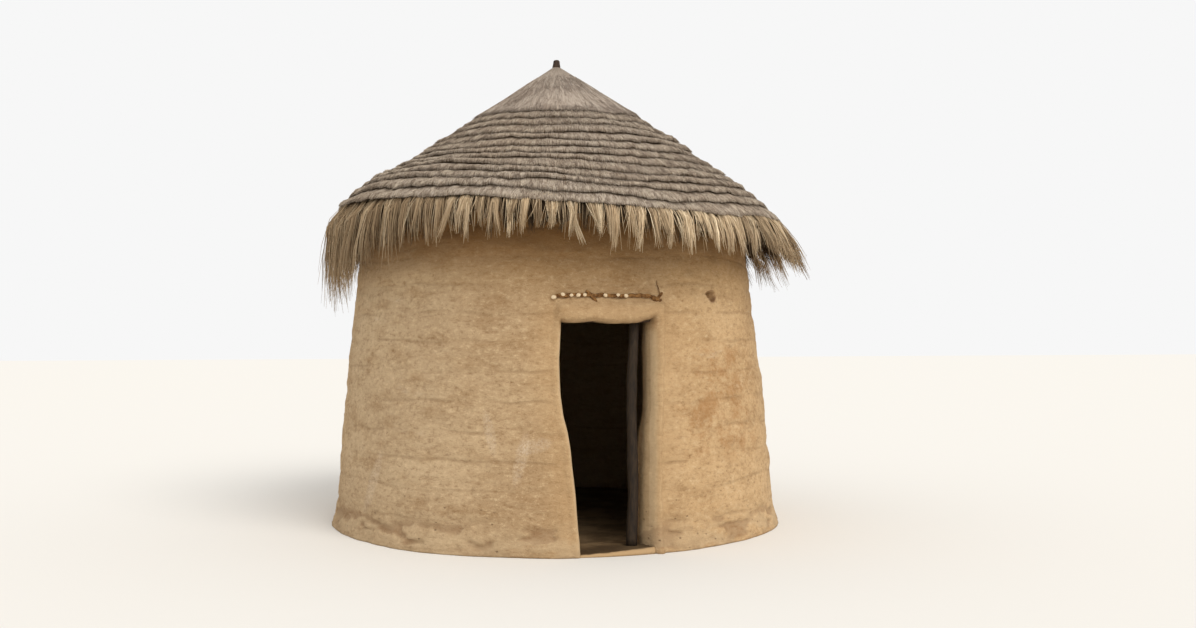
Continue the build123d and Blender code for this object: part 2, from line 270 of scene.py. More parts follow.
class Number:
    """A number that varies over a surface: one output socket, with the usual operators."""

    def __init__(self, finish, socket):
        self.finish = finish
        self.socket = socket

    def combine(self, operation, *values):
        return self.finish.node("ShaderNodeMath", {"operation": operation}, dict(enumerate(values)))

    def __add__(self, other):
        return self.combine("ADD", self, other)

    __radd__ = __add__

    def __sub__(self, other):
        return self.combine("SUBTRACT", self, other)

    def __rsub__(self, other):
        return self.combine("SUBTRACT", other, self)

    def __mul__(self, other):
        return self.combine("MULTIPLY", self, other)

    __rmul__ = __mul__

    def __truediv__(self, other):
        return self.combine("DIVIDE", self, other)

    def __abs__(self):
        return self.combine("ABSOLUTE", self)

    def fraction(self):
        return self.combine("FRACT", self)

    def between(self, low, high):
        """0 at low, 1 at high, an easy slope between them, and held outside."""
        settings = {"interpolation_type": "SMOOTHSTEP", "clamp": True}
        return self.finish.node("ShaderNodeMapRange", settings, {"Value": self, 1: low, 2: high})


class Finish:
    """A procedural material. Its nodes read Object coordinates, which are metres in the hut's frame."""

    def __init__(self, name, roughness=0.9, specular=0.25):
        self.material = bpy.data.materials.new(name)
        self.material.use_nodes = True
        self.tree = self.material.node_tree
        self.tree.nodes.clear()
        self.output = self.tree.nodes.new("ShaderNodeOutputMaterial")
        self.shader = self.tree.nodes.new("ShaderNodeBsdfPrincipled")
        self.shader.inputs["Roughness"].default_value = roughness
        self.shader.inputs["Specular IOR Level"].default_value = specular
        self.tree.links.new(self.shader.outputs[0], self.output.inputs["Surface"])
        coordinates = self.tree.nodes.new("ShaderNodeTexCoord")
        self.place = Number(self, coordinates.outputs["Object"])
        self.colour = (0.5, 0.5, 0.5)

    def plug(self, socket, value):
        if isinstance(value, Number):
            self.tree.links.new(value.socket, socket)
        elif isinstance(value, (tuple, list)) and len(value) == 3 and len(socket.default_value) == 4:
            socket.default_value = (*value, 1.0)
        else:
            socket.default_value = value

    def node(self, kind, settings=None, inputs=None, output=0):
        made = self.tree.nodes.new(kind)
        for key, value in (settings or {}).items():
            setattr(made, key, value)
        for key, value in (inputs or {}).items():
            self.plug(made.inputs[key], value)
        return Number(self, made.outputs[output])

    def squeezed(self, up):
        """The place with its height scaled, so that what is drawn there gets stretched the other way."""
        inputs = {"Vector": self.place, "Scale": (1, 1, up)}
        return self.node("ShaderNodeMapping", {"vector_type": "POINT"}, inputs)

    def grain(self, scale, detail=3.0, roughness=0.55, up=1.0, place=None):
        """Soft noise from 0 to 1. up squeezes it in height."""
        place = place or (self.place if up == 1.0 else self.squeezed(up))
        inputs = {"Vector": place, "Scale": scale, "Detail": detail, "Roughness": roughness}
        return self.node("ShaderNodeTexNoise", {"noise_dimensions": "3D"}, inputs)

    def axes(self):
        """The place's three numbers."""
        split = self.tree.nodes.new("ShaderNodeSeparateXYZ")
        self.plug(split.inputs[0], self.place)
        return [Number(self, split.outputs[n]) for n in range(3)]

    def stored(self, name):
        """A number that the mesh carries at each point."""
        return self.node("ShaderNodeAttribute", {"attribute_name": name}, output=2)

    def mix(self, amount, first, second):
        settings = {"data_type": "RGBA", "blend_type": "MIX", "clamp_factor": True}
        return self.node("ShaderNodeMix", settings, {0: amount, 6: first, 7: second}, output=2)

    def tint(self, amount, colour):
        """Lays a colour over what is there, as strongly as the amount says."""
        self.colour = self.mix(amount, self.colour, colour)

    def finished(self, height=None, distance=0.01, strength=1.0):
        """The material, with its colour and its relief plugged in."""
        self.plug(self.shader.inputs["Base Color"], self.colour)
        if height is not None:
            inputs = {"Height": height, "Distance": distance, "Strength": strength}
            self.plug(self.shader.inputs["Normal"], self.node("ShaderNodeBump", None, inputs))
        return self.material


def rgb(red, green, blue):
    """A colour as a paint chart gives it, 0 to 255, turned into the linear numbers that a shader wants."""
    parts = (red / 255, green / 255, blue / 255)
    return tuple(c / 12.92 if c <= 10 / 255 else ((c + 0.055) / 1.055) ** 2.4 for c in parts)


floor_finish = Finish("pale_floor", roughness=1.0, specular=0.0)
floor_finish.colour = rgb(232, 230, 226)
floor_mesh.materials.append(floor_finish.finished())
print("finish helper ready")

# %% [markdown]
# ## The earth wall
# The mason lays one lift of wet earth all round, lets it dry, and lays the next. The lifts swell a
# little and leave a faint line between them. The doorway is pinched at the feet and wide at the
# shoulders, with a raised band that was smoothed on by hand. The wall is one grid wrapped round the
# hut, whose columns run along the two jambs, so that the doorway's edge can be rounded exactly.

# %% Sizes of the wall
wall_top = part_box("wall_5")[1][2]
base_radius, head_radius = 1.975, 1.700
base_thickness, head_thickness = 0.300, 0.210
lift_height = wall_top / 12
door_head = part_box("wall_over_door")[0][2]
door_centre = 0.045
band_proud = 0.045
socket_angle, socket_height = math.radians(34.8), 1.975

jamb_heights = [0.0, 0.35, 0.65, 0.905, 1.055, 1.20, 1.50, 1.66, 1.80]
left_edge_x = [-0.194, -0.212, -0.236, -0.262, -0.304, -0.318, -0.324, -0.312, -0.300]
right_edge_x = [0.296, 0.316, 0.332, 0.347, 0.386, 0.394, 0.393, 0.399, 0.405]
flare_heights = [0.10, 0.55, 0.86, 1.16, 1.47, 1.70]
right_front_x = [0.378, 0.400, 0.410, 0.428, 0.436, 0.436]


def outer_radius(z):
    return base_radius + (head_radius - base_radius) * z / wall_top


def inner_radius(z):
    return outer_radius(z) - (base_thickness + (head_thickness - base_thickness) * z / wall_top)


def eased_line(heights, values, soften=0.035):
    """A soft line through a jamb's measured places, as a function of height."""
    fine = np.linspace(heights[0] - 0.2, heights[-1] + 0.2, 400)
    straight = np.interp(fine, heights, values)
    step = fine[1] - fine[0]
    reach = np.arange(-40, 41) * step
    kernel = np.exp(-((reach / soften) ** 2) / 2)
    padded = np.pad(straight, 40, mode="edge")
    soft = np.convolve(padded, kernel / kernel.sum(), mode="valid")
    return lambda z: np.interp(z, fine, soft) + 0.0035 * noise(z * 9.0, values[0] * 50, 0, 5)


left_x = eased_line(jamb_heights, left_edge_x)
right_x = eased_line(jamb_heights, right_edge_x)
right_front = eased_line(flare_heights, right_front_x)


def head_line(x):
    """Height of the doorway's uneven head: two shallow sags, and a corner that was pulled up at the right."""
    places = [-0.30, -0.22, -0.055, 0.105, 0.29, 0.37, 0.42]
    rises = [0.004, -0.008, 0.006, -0.013, -0.006, 0.016, 0.026]
    beyond = np.maximum(np.abs(x - door_centre) - 0.36, 0)
    sag = np.interp(x, places, rises) + 0.003 * noise(x * 22.0, 3.3, 0, 8)
    return door_head + sag * bell(beyond, 0, 0.2)


def bent_height(z, x):
    """Heights near the doorway's head follow its uneven line."""
    return z + (head_line(x) - door_head) * bell(z, door_head, 0.12)


print("doorway width at the shoulders:", round(float(right_x(1.2) - left_x(1.2)), 3))

# %% [markdown]
# The grid has close columns where there is something to see: by the jambs and at the socket. Rows
# and columns are placed by adding up a density and cutting the total into equal shares.

# %% Rows and columns of the wall


def shares(low, high, count, density):
    """count + 1 places from low to high, closer together where density is higher."""
    fine = np.linspace(low, high, 4000)
    total = np.concatenate([[0], np.cumsum(density(fine)[:-1])])
    return np.interp(np.linspace(0, total[-1], count + 1), total, fine)


low_rows, high_rows = 96, 50
round_columns, door_columns = 430, 34
jamb_steps, top_steps = 9, 6

low_heights = shares(0, door_head, low_rows, lambda z: 1 + 0.5 * bell(z, 0, 0.2))
high_heights = shares(door_head, wall_top, high_rows, lambda z: 1 + 2.4 * bell(z, socket_height, 0.05))
heights = np.concatenate([low_heights[:-1], high_heights])
right_start = math.asin(0.40 / outer_radius(0.9))
left_end = 2 * math.pi - math.asin(0.28 / outer_radius(0.9))


def column_density(angle):
    """Columns are scarce at the back and close by the jambs and at the socket."""
    back_share = smooth_step(1.75, 2.2, angle) * (1 - smooth_step(4.1, 4.5, angle))
    by_jambs = 3.0 * np.exp(-(angle - right_start) / 0.04) + 3.0 * np.exp(-(left_end - angle) / 0.04)
    return 1 - 0.5 * back_share + by_jambs + 3.0 * bell(angle, socket_angle, 0.035)


column_angles = shares(right_start, left_end, round_columns, column_density)
print(len(heights), "rows and", len(column_angles), "columns")

# %% [markdown]
# The relief of the outer face is a sum as well: the swell of the lifts, the hollows that rain cut
# near the ground, the lumps of handfuls of earth, the band round the doorway and the socket.

# %% Relief of the wall


def lift_number(x, y, z):
    """Which lift a point is in, as a number whose whole values lie on the uneven joints."""
    uneven = 0.16 * noise(x * 1.4, y * 1.4, z * 2.2, 11) + 0.06 * noise(x * 6, y * 6, z * 5, 12)
    return z / lift_height + uneven


def wash(x, y, z):
    """From 0 to 1: where rain that splashes off the ground has hollowed the foot of the wall."""
    patches = noise(x * 4.2, y * 4.2, z * 16, 19) + 0.5 * noise(x * 13, y * 13, z * 30, 22)
    low_down = smooth_step(0.012, 0.05, z) * (1 - smooth_step(0.13, 0.30, z))
    return smooth_step(-0.05, 0.45, patches) * low_down


def relief(angle, z, edge, band, proud=band_proud):
    """How far the outer face stands out from its cone.

    edge is the way to the doorway. band is 0 at the doorway's edge and 1 where its band ends.
    """
    radius = outer_radius(z)
    x, y = radius * np.sin(angle), -radius * np.cos(angle)
    lift = lift_number(x, y, z)
    within = lift - np.floor(lift)
    near_joint = np.minimum(within, 1 - within) * lift_height
    joint_strength = smooth_step(-0.25, 0.45, noise(x * 1.9, y * 1.9, z * 4, 13))
    away_from_door = smooth_step(0.0, 0.10, edge)
    out = 0.0045 * (1 - (2 * within - 1) ** 2) * away_from_door
    out = out - 0.0050 * joint_strength * bell(near_joint, 0, 0.018) * away_from_door
    out = out + 0.012 * noise(x * 1.15, y * 1.15, z * 1.3, 14)
    out = out + 0.0080 * noise(x * 2.8, y * 2.8, z * 5.5, 15) + 0.0055 * noise(x * 7.5, y * 7.5, z * 17, 16)
    out = out + 0.0030 * noise(x * 17, y * 17, z * 36, 17)
    toe = np.clip(1 - z / 0.16, 0, 1)
    out = out + 0.034 * toe**1.6 * (0.75 + 0.25 * noise(x * 3, y * 3, 0, 18))
    out = out - 0.022 * wash(x, y, z) * smooth_step(0.04, 0.16, edge)
    right_side = bell(angle, 1.72, 0.55)
    waist = smooth_step(0.3, 0.9, z) * (1 - smooth_step(1.1, 1.5, z))
    out = out - 0.030 * right_side * smooth_step(1.15, 1.6, z) + 0.024 * right_side * waist
    out = out + 0.026 * bell(angle, 4.55, 0.60) * smooth_step(0.5, 1.6, z)
    hump = 1 - 0.34 * (2 * np.clip(band, 0, 1) - 1) ** 2
    uneven = 1 + 0.28 * noise(x * 4, y * 4, z * 4, 20)
    out = out + proud * hump * uneven * (1 - smooth_step(0.70, 1.18, band))
    wide_here = 1.15 + 0.55 * np.clip((z - socket_height) / 0.045, -1, 1)
    to_socket = np.hypot((angle - socket_angle) * radius / wide_here, (z - socket_height) * 1.15)
    ragged = 0.009 * noise(x * 32, y * 32, z * 32, 21)
    out = out - 0.085 * (1 - smooth_step(0.033, 0.052, to_socket + ragged))
    return out


def edge_rounding(edge, round_radius):
    """How far a rounded edge falls back from the face, at this distance from the edge."""
    short = np.clip(round_radius - edge, 0, round_radius)
    return round_radius - np.sqrt(round_radius**2 - short**2)


print("relief at the middle of a lift:", np.round(relief(np.array([2.0]), np.array([1.3]), 2.0, 9.0), 4))

# %% [markdown]
# Now the grid itself. The outer face, the rounded head of the wall and the inner face are three runs
# of rows. The jambs and the underside of the doorway's head join the outer face to the inner one.

# %% The wall's points
edge_round_right, edge_round_left, edge_round_inside = 0.070, 0.036, 0.028
head_round = 0.045
band_left_width, band_over_width = 0.060, 0.165


def right_band_width(z):
    return np.interp(z, [0, 0.55, 1.1, 1.76], [0.090, 0.065, 0.072, 0.105])


def face_points(z, angle, over_door, inside=False):
    """One row or patch of the outer or inner face. over_door is True on the columns above the doorway."""
    radius = inner_radius(z) if inside else outer_radius(z)
    front_right = right_x(z) if inside else right_front(z)
    to_right = (angle - np.arcsin(front_right / radius)) * radius
    to_left = (2 * np.pi + np.arcsin(left_x(z) / radius) - angle) * radius
    above = z - door_head
    near_right = to_right < to_left
    lateral = np.where(near_right, to_right, to_left)
    width = np.where(near_right, right_band_width(z), band_left_width)
    beside = np.where(over_door, 0.0, np.maximum(lateral, 0.0))
    over = np.maximum(above, 0.0)
    edge = np.hypot(beside, over)
    band = np.maximum(beside / width, over / band_over_width)
    rounding = np.where(near_right & ~over_door, edge_round_right, edge_round_left)
    if inside:
        x, y = radius * np.sin(angle), -radius * np.cos(angle)
        r = radius + 0.006 * noise(x * 2, y * 2, z * 3, 31) + edge_rounding(edge, edge_round_inside)
        r = r + edge_rounding(wall_top - z, head_round)
    else:
        left_share = 0.15 + 0.85 * smooth_step(-0.10, 0.10, above) * (1 - smooth_step(0.0, 0.058, beside))
        share = np.where(near_right | over_door, 1.0, left_share)
        proud = band_proud * share
        r = radius + relief(angle, z, edge, band, proud) - edge_rounding(edge, rounding)
        r = r - edge_rounding(wall_top - z, head_round)
    x = r * np.sin(angle)
    return np.stack([x, -r * np.cos(angle), bent_height(z, x)], axis=-1), edge, band


def ring_angles(z, inside=False):
    """Angles of all columns at one height.

    They run round the back from the right jamb to the left one, and then over the doorway.
    """
    radius = inner_radius(z) if inside else outer_radius(z)
    right = math.asin(float(right_x(z) if inside else right_front(z)) / radius)
    left = 2 * math.pi + math.asin(float(left_x(z)) / radius)
    s = (column_angles - right_start) / (left_end - right_start)
    fade = 0.12
    to_right = (right - right_start) * np.exp(-s / fade)
    angles = column_angles + to_right + (left - left_end) * np.exp(-(1 - s) / fade)
    angles[0], angles[-1] = right, left
    across = np.linspace(left, right + 2 * math.pi, door_columns + 1)[1:-1]
    return angles, across


def face_row(z, inside=False):
    """All points of one row: the columns round the back, then, over the doorway's head, those across it."""
    angles, across = ring_angles(z, inside)
    heights_round = np.full(len(angles), z)
    points, edge, band = face_points(heights_round, angles, np.zeros(len(angles), bool), inside)
    if z < door_head - 1e-6:
        return points, edge, band
    heights_across = np.full(len(across), z)
    more = face_points(heights_across, across, np.ones(len(across), bool), inside)
    return tuple(np.concatenate([a, b]) for a, b in zip((points, edge, band), more))


outer_rows = [face_row(z) for z in heights]
inner_rows = [face_row(z, inside=True) for z in heights]
print("points in a low row and in a high row:", len(outer_rows[0][0]), len(outer_rows[-1][0]))

# %% The wall's faces


class WallMesh:
    """Collects points and faces, with the three numbers that the finish reads."""

    def __init__(self):
        self.points, self.edge, self.band, self.inner, self.faces = [], [], [], [], []

    def add(self, points, edge, band, inner):
        first = len(self.points)
        self.points.extend(np.asarray(points).tolist())
        self.edge.extend(np.broadcast_to(edge, len(points)).tolist())
        self.band.extend(np.broadcast_to(band, len(points)).tolist())
        self.inner.extend([inner] * len(points))
        return list(range(first, len(self.points)))

    def strip(self, lower, upper, closed=False):
        """Quads between two rows of equal length."""
        count = len(lower) if closed else len(lower) - 1
        for n in range(count):
            m = (n + 1) % len(lower)
            self.faces.append((lower[n], lower[m], upper[m], upper[n]))


wall = WallMesh()
outer_ids = [wall.add(*row, inner=0.0) for row in outer_rows]
inner_ids = [wall.add(*row, inner=1.0) for row in inner_rows]
back = len(column_angles)

for n in range(len(heights) - 1):
    closed = n >= low_rows
    upper_out, upper_in = outer_ids[n + 1], inner_ids[n + 1]
    if not closed:
        upper_out, upper_in = upper_out[:back], upper_in[:back]
    wall.strip(outer_ids[n], upper_out, closed)
    wall.strip(upper_in, inner_ids[n], closed)


def wall_head_rows():
    """Rows over the head of the wall, from the outer face to the inner one."""
    outer_top, inner_top = outer_rows[-1][0], inner_rows[-1][0]
    return [outer_top + (inner_top - outer_top) * (step / top_steps) for step in range(1, top_steps)]


previous = outer_ids[-1]
for row in wall_head_rows():
    ids = wall.add(row, edge=1.0, band=9.0, inner=0.0)
    wall.strip(previous, ids, closed=True)
    previous = ids
wall.strip(previous, inner_ids[-1], closed=True)


def jamb_columns(at, seed, bow):
    """For each low row, the points through the wall on the jamb whose column is number at."""
    columns = []
    for outer_row, inner_row in zip(outer_rows[: low_rows + 1], inner_rows):
        front, rear = outer_row[0][at], inner_row[0][at]
        t = np.linspace(0, 1, jamb_steps + 1)[1:-1, None]
        points = front + (rear - front) * t
        ragged = 0.004 * noise(points[:, 1] * 9, points[:, 2] * 7, 0, seed)
        points[:, 0] += ragged + bow * np.sin(np.pi * t[:, 0])
        columns.append(wall.add(points, edge=0.0, band=0.0, inner=0.5))
    return columns


def through_wall(jamb, n, at):
    """One row through the wall, from the outer face over the jamb to the inner face."""
    return [outer_ids[n][at], *jamb[n], inner_ids[n][at]]


right_jamb = jamb_columns(0, seed=41, bow=-0.014)
left_jamb = jamb_columns(back - 1, seed=42, bow=0.0042)
for n in range(low_rows):
    wall.strip(through_wall(right_jamb, n + 1, 0), through_wall(right_jamb, n, 0))
    wall.strip(through_wall(left_jamb, n, back - 1), through_wall(left_jamb, n + 1, back - 1))


def soffit_rows():
    """The underside of the doorway's head, row by row from front to back."""
    outer, inner = outer_ids[low_rows], inner_ids[low_rows]
    front, rear = ([ids[back - 1], *ids[back:], ids[0]] for ids in (outer, inner))
    rows = [front]
    points = np.array(wall.points)
    for step in range(1, jamb_steps):
        t = step / jamb_steps
        middle = points[front] + (points[rear] - points[front]) * t
        middle[:, 2] += 0.006 * noise(middle[:, 0] * 9, middle[:, 1] * 9, 0, 43)
        inside_ids = wall.add(middle[1:-1], edge=0.0, band=0.0, inner=0.5)
        rows.append([left_jamb[low_rows][step - 1], *inside_ids, right_jamb[low_rows][step - 1]])
    rows.append(rear)
    return rows


under_head = soffit_rows()
for front_row, rear_row in zip(under_head, under_head[1:]):
    wall.strip(front_row, rear_row)

for n in range(back - 1):
    wall.faces.append((outer_ids[0][n + 1], outer_ids[0][n], inner_ids[0][n], inner_ids[0][n + 1]))
wall.faces[-(back - 1)] = (outer_ids[0][1], outer_ids[0][0], *right_jamb[0], inner_ids[0][0], inner_ids[0][1])
wall.faces[-1] = (
    outer_ids[0][back - 1],
    outer_ids[0][back - 2],
    inner_ids[0][back - 2],
    inner_ids[0][back - 1],
    *reversed(left_jamb[0]),
)
print(len(wall.points), "points and", len(wall.faces), "faces in the wall")

# %% [markdown]
# Every face has to look outwards. The volume that the faces enclose tells: it's negative when they
# all look inwards. The numbers that the finish reads ride along on the points.

# %% The wall as a piece


def outward(points, faces):
    """The faces, turned round if they enclose a negative volume."""
    points = np.asarray(points)
    volume = 0.0
    for face in faces:
        corner = points[list(face)]
        for n in range(1, len(face) - 1):
            volume += np.dot(corner[0], np.cross(corner[n], corner[n + 1]))
    return faces if volume > 0 else [tuple(reversed(face)) for face in faces]


def lifts_of(points):
    points = np.asarray(points)
    return lift_number(points[:, 0], points[:, 1], points[:, 2])


wall_faces = outward(wall.points, wall.faces)
earth_wall = new_object(
    "earth_wall",
    wall.points,
    wall_faces,
    {
        "lift": lifts_of(wall.points),
        "edge": wall.edge,
        "band": wall.band,
        "inner": wall.inner,
        "wash": wash(*np.asarray(wall.points).T),
    },
)


def thin_out(piece, weights, ratio):
    """Takes faces out where the weights are 1, and leaves plain mesh."""
    group = piece.vertex_groups.new(name="thin_here")
    chosen = np.flatnonzero(np.asarray(weights) > 0.9).tolist()
    group.add(chosen, 1.0, "REPLACE")
    modifier = piece.modifiers.new("thin", "DECIMATE")
    modifier.ratio = ratio
    modifier.vertex_group = group.name
    modifier.vertex_group_factor = 100.0
    applied(piece)
    piece.vertex_groups.clear()


print("before:", triangles(earth_wall), "triangles")
thin_out(earth_wall, wall.inner, 0.60)
wall_nodes = ["wall_left_of_door", "wall_right_of_door", "wall_over_door"]
wall_nodes += [f"wall_{n}" for n in range(1, 10)]
band_nodes = ["door_band_left", "door_band_right", "door_band_head"]
hand_over(earth_wall, "earth_wall", *wall_nodes, *band_nodes)

# %% [markdown]
# ## Sill and floor
# Feet have worn the sill down on the side where people step. The floor is beaten earth.

# %% Sill and floor


def sill_piece():
    """A low block of earth between the jambs, lowest at the left, with its front edge trodden off."""
    columns, rows = 34, 26
    depth = np.linspace(0, 1, rows)
    right_end = right_front(0.05) + (right_x(0.05) - right_front(0.05)) * depth + 0.012
    points = []
    for across in np.linspace(0, 1, columns):
        x = left_x(0.0) - 0.012 + (right_end - left_x(0.0) + 0.012) * across
        front = -np.sqrt((outer_radius(0) + 0.020) ** 2 - x**2)
        rear = -np.sqrt((inner_radius(0) - 0.004) ** 2 - x**2)
        along = front + (rear - front) * depth
        rim = 0.014 + 0.038 * across
        top = (rim + (0.046 - rim) * depth) * smooth_step(-0.05, 0.06, depth)
        top = top + 0.004 * noise(x * 14, along * 14, 0, 51) + 0.002 * noise(x * 45, along * 45, 0, 52)
        points.append(np.stack([x, along, np.maximum(top, 0.004)], axis=-1))
    top = np.concatenate(points)
    bottom = top.copy()
    bottom[:, 2] = 0.0
    count = columns * rows
    faces = grid_faces(columns, rows)
    faces += [tuple(n + count for n in reversed(face)) for face in grid_faces(columns, rows)]
    last = (columns - 1) * rows
    rim = [*range(rows), *range(2 * rows - 1, last, rows)]
    rim += [*range(last + rows - 1, last, -1), *range(last, 0, -rows)]
    faces += [(a + count, b + count, b, a) for a, b in zip(rim, rim[1:] + rim[:1])]
    points = np.concatenate([top, bottom])
    inward = np.tile(depth, columns)
    values = {"inward": np.concatenate([inward, 0 * inward])}
    return new_object("sill", points, outward(points, faces), values)


def floor_piece():
    rings, spokes = 30, 96
    turn = np.linspace(0, 2 * np.pi, spokes, endpoint=False)
    radii = np.linspace(0.02, inner_radius(0.05) - 0.002, rings)
    r, a = np.meshgrid(radii, turn, indexing="ij")
    x, y = r * np.sin(a), -r * np.cos(a)
    worn = 0.008 * noise(x * 2.2, y * 2.2, 0, 53) + 0.003 * noise(x * 9, y * 9, 0, 54)
    z = 0.046 + worn - 0.003 + 0 * x
    top = np.stack([x, y, np.minimum(z, 0.056)], axis=-1).reshape(-1, 3)
    under = np.stack([x[-1], y[-1], np.zeros(spokes)], axis=-1)
    points = np.concatenate([top, under])
    faces = grid_faces(rings, spokes, wrap_columns=True)
    last, low = (rings - 1) * spokes, rings * spokes
    faces += [(low + n, last + n, last + (n + 1) % spokes, low + (n + 1) % spokes) for n in range(spokes)]
    faces.append(tuple(reversed(range(spokes))))
    faces.append(tuple(low + n for n in range(spokes)))
    return new_object("beaten_floor", points, outward(points, faces), {"inward": np.ones(len(points))})


sill = hand_over(sill_piece(), "earth_floor", "threshold")
beaten_floor = hand_over(floor_piece(), "earth_floor", "earth_floor")

# %% [markdown]
# ## Poles
# A pole that grew isn't a cylinder. One helper bends a line a little, swells it at knots and closes
# its ends. It serves the door post, the rafters, the hoops and the knob at the apex.

# %% Crooked poles


def tube(path, radii, sides, seed, closed=False, lumps=0.04):
    """Points and faces of a round bar along a path. Its radius varies with the lumps."""
    path, radii = np.asarray(path, float), np.asarray(radii, float)
    ahead = np.roll(path, -1, axis=0) - np.roll(path, 1, axis=0)
    if not closed:
        ahead[0], ahead[-1] = path[1] - path[0], path[-1] - path[-2]
    ahead /= np.linalg.norm(ahead, axis=1)[:, None]
    helper = np.where(np.abs(ahead[:, 2:3]) > 0.9, [[1.0, 0, 0]], [[0, 0, 1.0]])
    side = np.cross(ahead, helper)
    side /= np.linalg.norm(side, axis=1)[:, None]
    over = np.cross(side, ahead)
    turn = np.linspace(0, 2 * np.pi, sides, endpoint=False)
    ring = np.cos(turn)[None, :, None] * side[:, None, :] + np.sin(turn)[None, :, None] * over[:, None, :]
    near = path[:, None, :] + ring * radii[:, None, None]
    swell = 1 + lumps * noise(near[..., 0] * 22, near[..., 1] * 22, near[..., 2] * 22, seed)[..., None]
    points = (path[:, None, :] + ring * radii[:, None, None] * swell).reshape(-1, 3)
    faces = grid_faces(len(path), sides, wrap_rows=closed, wrap_columns=True)
    if not closed:
        faces.append(tuple(reversed(range(sides))))
        faces.append(tuple((len(path) - 1) * sides + n for n in range(sides)))
    return points, outward(points, faces)


def gathered(parts):
    """Several lots of points and faces as one lot."""
    points, faces, first = [], [], 0
    for part_points, part_faces in parts:
        points.append(part_points)
        faces += [tuple(n + first for n in face) for face in part_faces]
        first += len(part_points)
    return np.concatenate(points), faces


def post_piece():
    t = np.linspace(0, 1, 34)
    x = 0.238 + (0.300 - 0.238) * t + 0.010 * np.sin(2.4 * np.pi * t) + 0.004 * noise(t * 9, 1.5, 0, 61)
    y = -1.825 + (-1.630 + 1.825) * t + 0.008 * np.sin(1.7 * np.pi * t + 1)
    z = 0.045 + (door_head + 0.012 - 0.045) * t
    radii = 0.044 - 0.006 * t + 0.005 * bell(t, 0.36, 0.03) + 0.004 * bell(t, 0.71, 0.02)
    return new_object("peeled_post", *tube(np.stack([x, y, z], axis=-1), radii, 20, 62, lumps=0.07))


door_post = hand_over(post_piece(), "peeled_pole", "door_post")

# %% [markdown]
# The ridge over the doorway is a roll of darker mud, drawn out with two fingers, with pale shells
# pushed into it. The shells repeat, so Geometry Nodes sets them: the tree is built here, reads the
# places and turns that the points carry, and ends in real mesh with its material.

# %% Geometry Nodes helpers


class Growth:
    """A Geometry Nodes tree that is written step by step and ends in real mesh with its finish."""

    def __init__(self, name, sizes):
        kinds = {int: "NodeSocketInt", float: "NodeSocketFloat", tuple: "NodeSocketVector"}
        self.tree = bpy.data.node_groups.new(name, "GeometryNodeTree")
        interface = self.tree.interface
        for side in ("INPUT", "OUTPUT"):
            interface.new_socket("Geometry", in_out=side, socket_type="NodeSocketGeometry")
        for label, size in sizes.items():
            made = interface.new_socket(label, in_out="INPUT", socket_type=kinds[type(size)])
            made.default_value = size
        interface.new_socket("Finish", in_out="INPUT", socket_type="NodeSocketMaterial")
        self.given = self.tree.nodes.new("NodeGroupInput").outputs

    def node(self, kind, inputs, settings=None):
        """A node's outputs. An input may be a value or another node's output."""
        made = self.tree.nodes.new(kind)
        for key, value in (settings or {}).items():
            setattr(made, key, value)
        for key, value in inputs.items():
            if isinstance(value, bpy.types.NodeSocket):
                self.tree.links.new(value, made.inputs[key])
            else:
                made.inputs[key].default_value = value
        return made.outputs

    def carried(self, name, kind="FLOAT"):
        """What the points carry under a name."""
        return self.node("GeometryNodeInputNamedAttribute", {"Name": name}, {"data_type": kind})["Attribute"]

    def on_points(self, shape, size):
        """Sets the shape on every point, turned as the point says."""
        turn = self.carried("turn", "FLOAT_VECTOR")
        inputs = {"Points": self.given["Geometry"], "Instance": shape, "Scale": size, "Rotation": turn}
        return self.node("GeometryNodeInstanceOnPoints", inputs)["Instances"]

    def close(self, geometry):
        """Ends the tree: real mesh, its finish, and out."""
        real = self.node("GeometryNodeRealizeInstances", {"Geometry": geometry})["Geometry"]
        inputs = {"Geometry": real, "Material": self.given["Finish"]}
        painted = self.node("GeometryNodeSetMaterial", inputs)["Geometry"]
        self.tree.links.new(painted, self.tree.nodes.new("NodeGroupOutput").inputs["Geometry"])
        return self

    def use_on(self, piece, **values):
        """Puts the tree on the piece, sets its named inputs and makes it plain mesh."""
        modifier = piece.modifiers.new(self.tree.name, "NODES")
        modifier.node_group = self.tree
        for item in self.tree.interface.items_tree:
            if item.in_out == "INPUT" and item.name in values:
                modifier[item.identifier] = values[item.name]
        return applied(piece)


circle, sweep = "GeometryNodeCurvePrimitiveCircle", "GeometryNodeCurveToMesh"


def strands_tree():
    """Turns lines of edges into thin tapered blades. The points carry their width."""
    tree = Growth("strands", {"Sides": 3})
    curve = tree.node("GeometryNodeMeshToCurve", {"Mesh": tree.given["Geometry"]})["Curve"]
    profile = tree.node(circle, {"Resolution": tree.given["Sides"], "Radius": 1.0})["Curve"]
    width = tree.carried("width")
    inputs = {"Curve": curve, "Profile Curve": profile, "Scale": width, "Fill Caps": True}
    return tree.close(tree.node(sweep, inputs)["Mesh"])


def shells_tree():
    """Sets a small domed shell on every point, turned as the point says."""
    tree = Growth("shells", {"Size": (0.0185, 0.0110, 0.0150)})
    dome = tree.node("GeometryNodeMeshUVSphere", {"Segments": 10, "Rings": 6, "Radius": 1.0})["Mesh"]
    inputs = {0: tree.given["Size"], "Scale": tree.carried("size")}
    size = tree.node("ShaderNodeVectorMath", inputs, {"operation": "SCALE"})["Vector"]
    return tree.close(tree.on_points(dome, size))


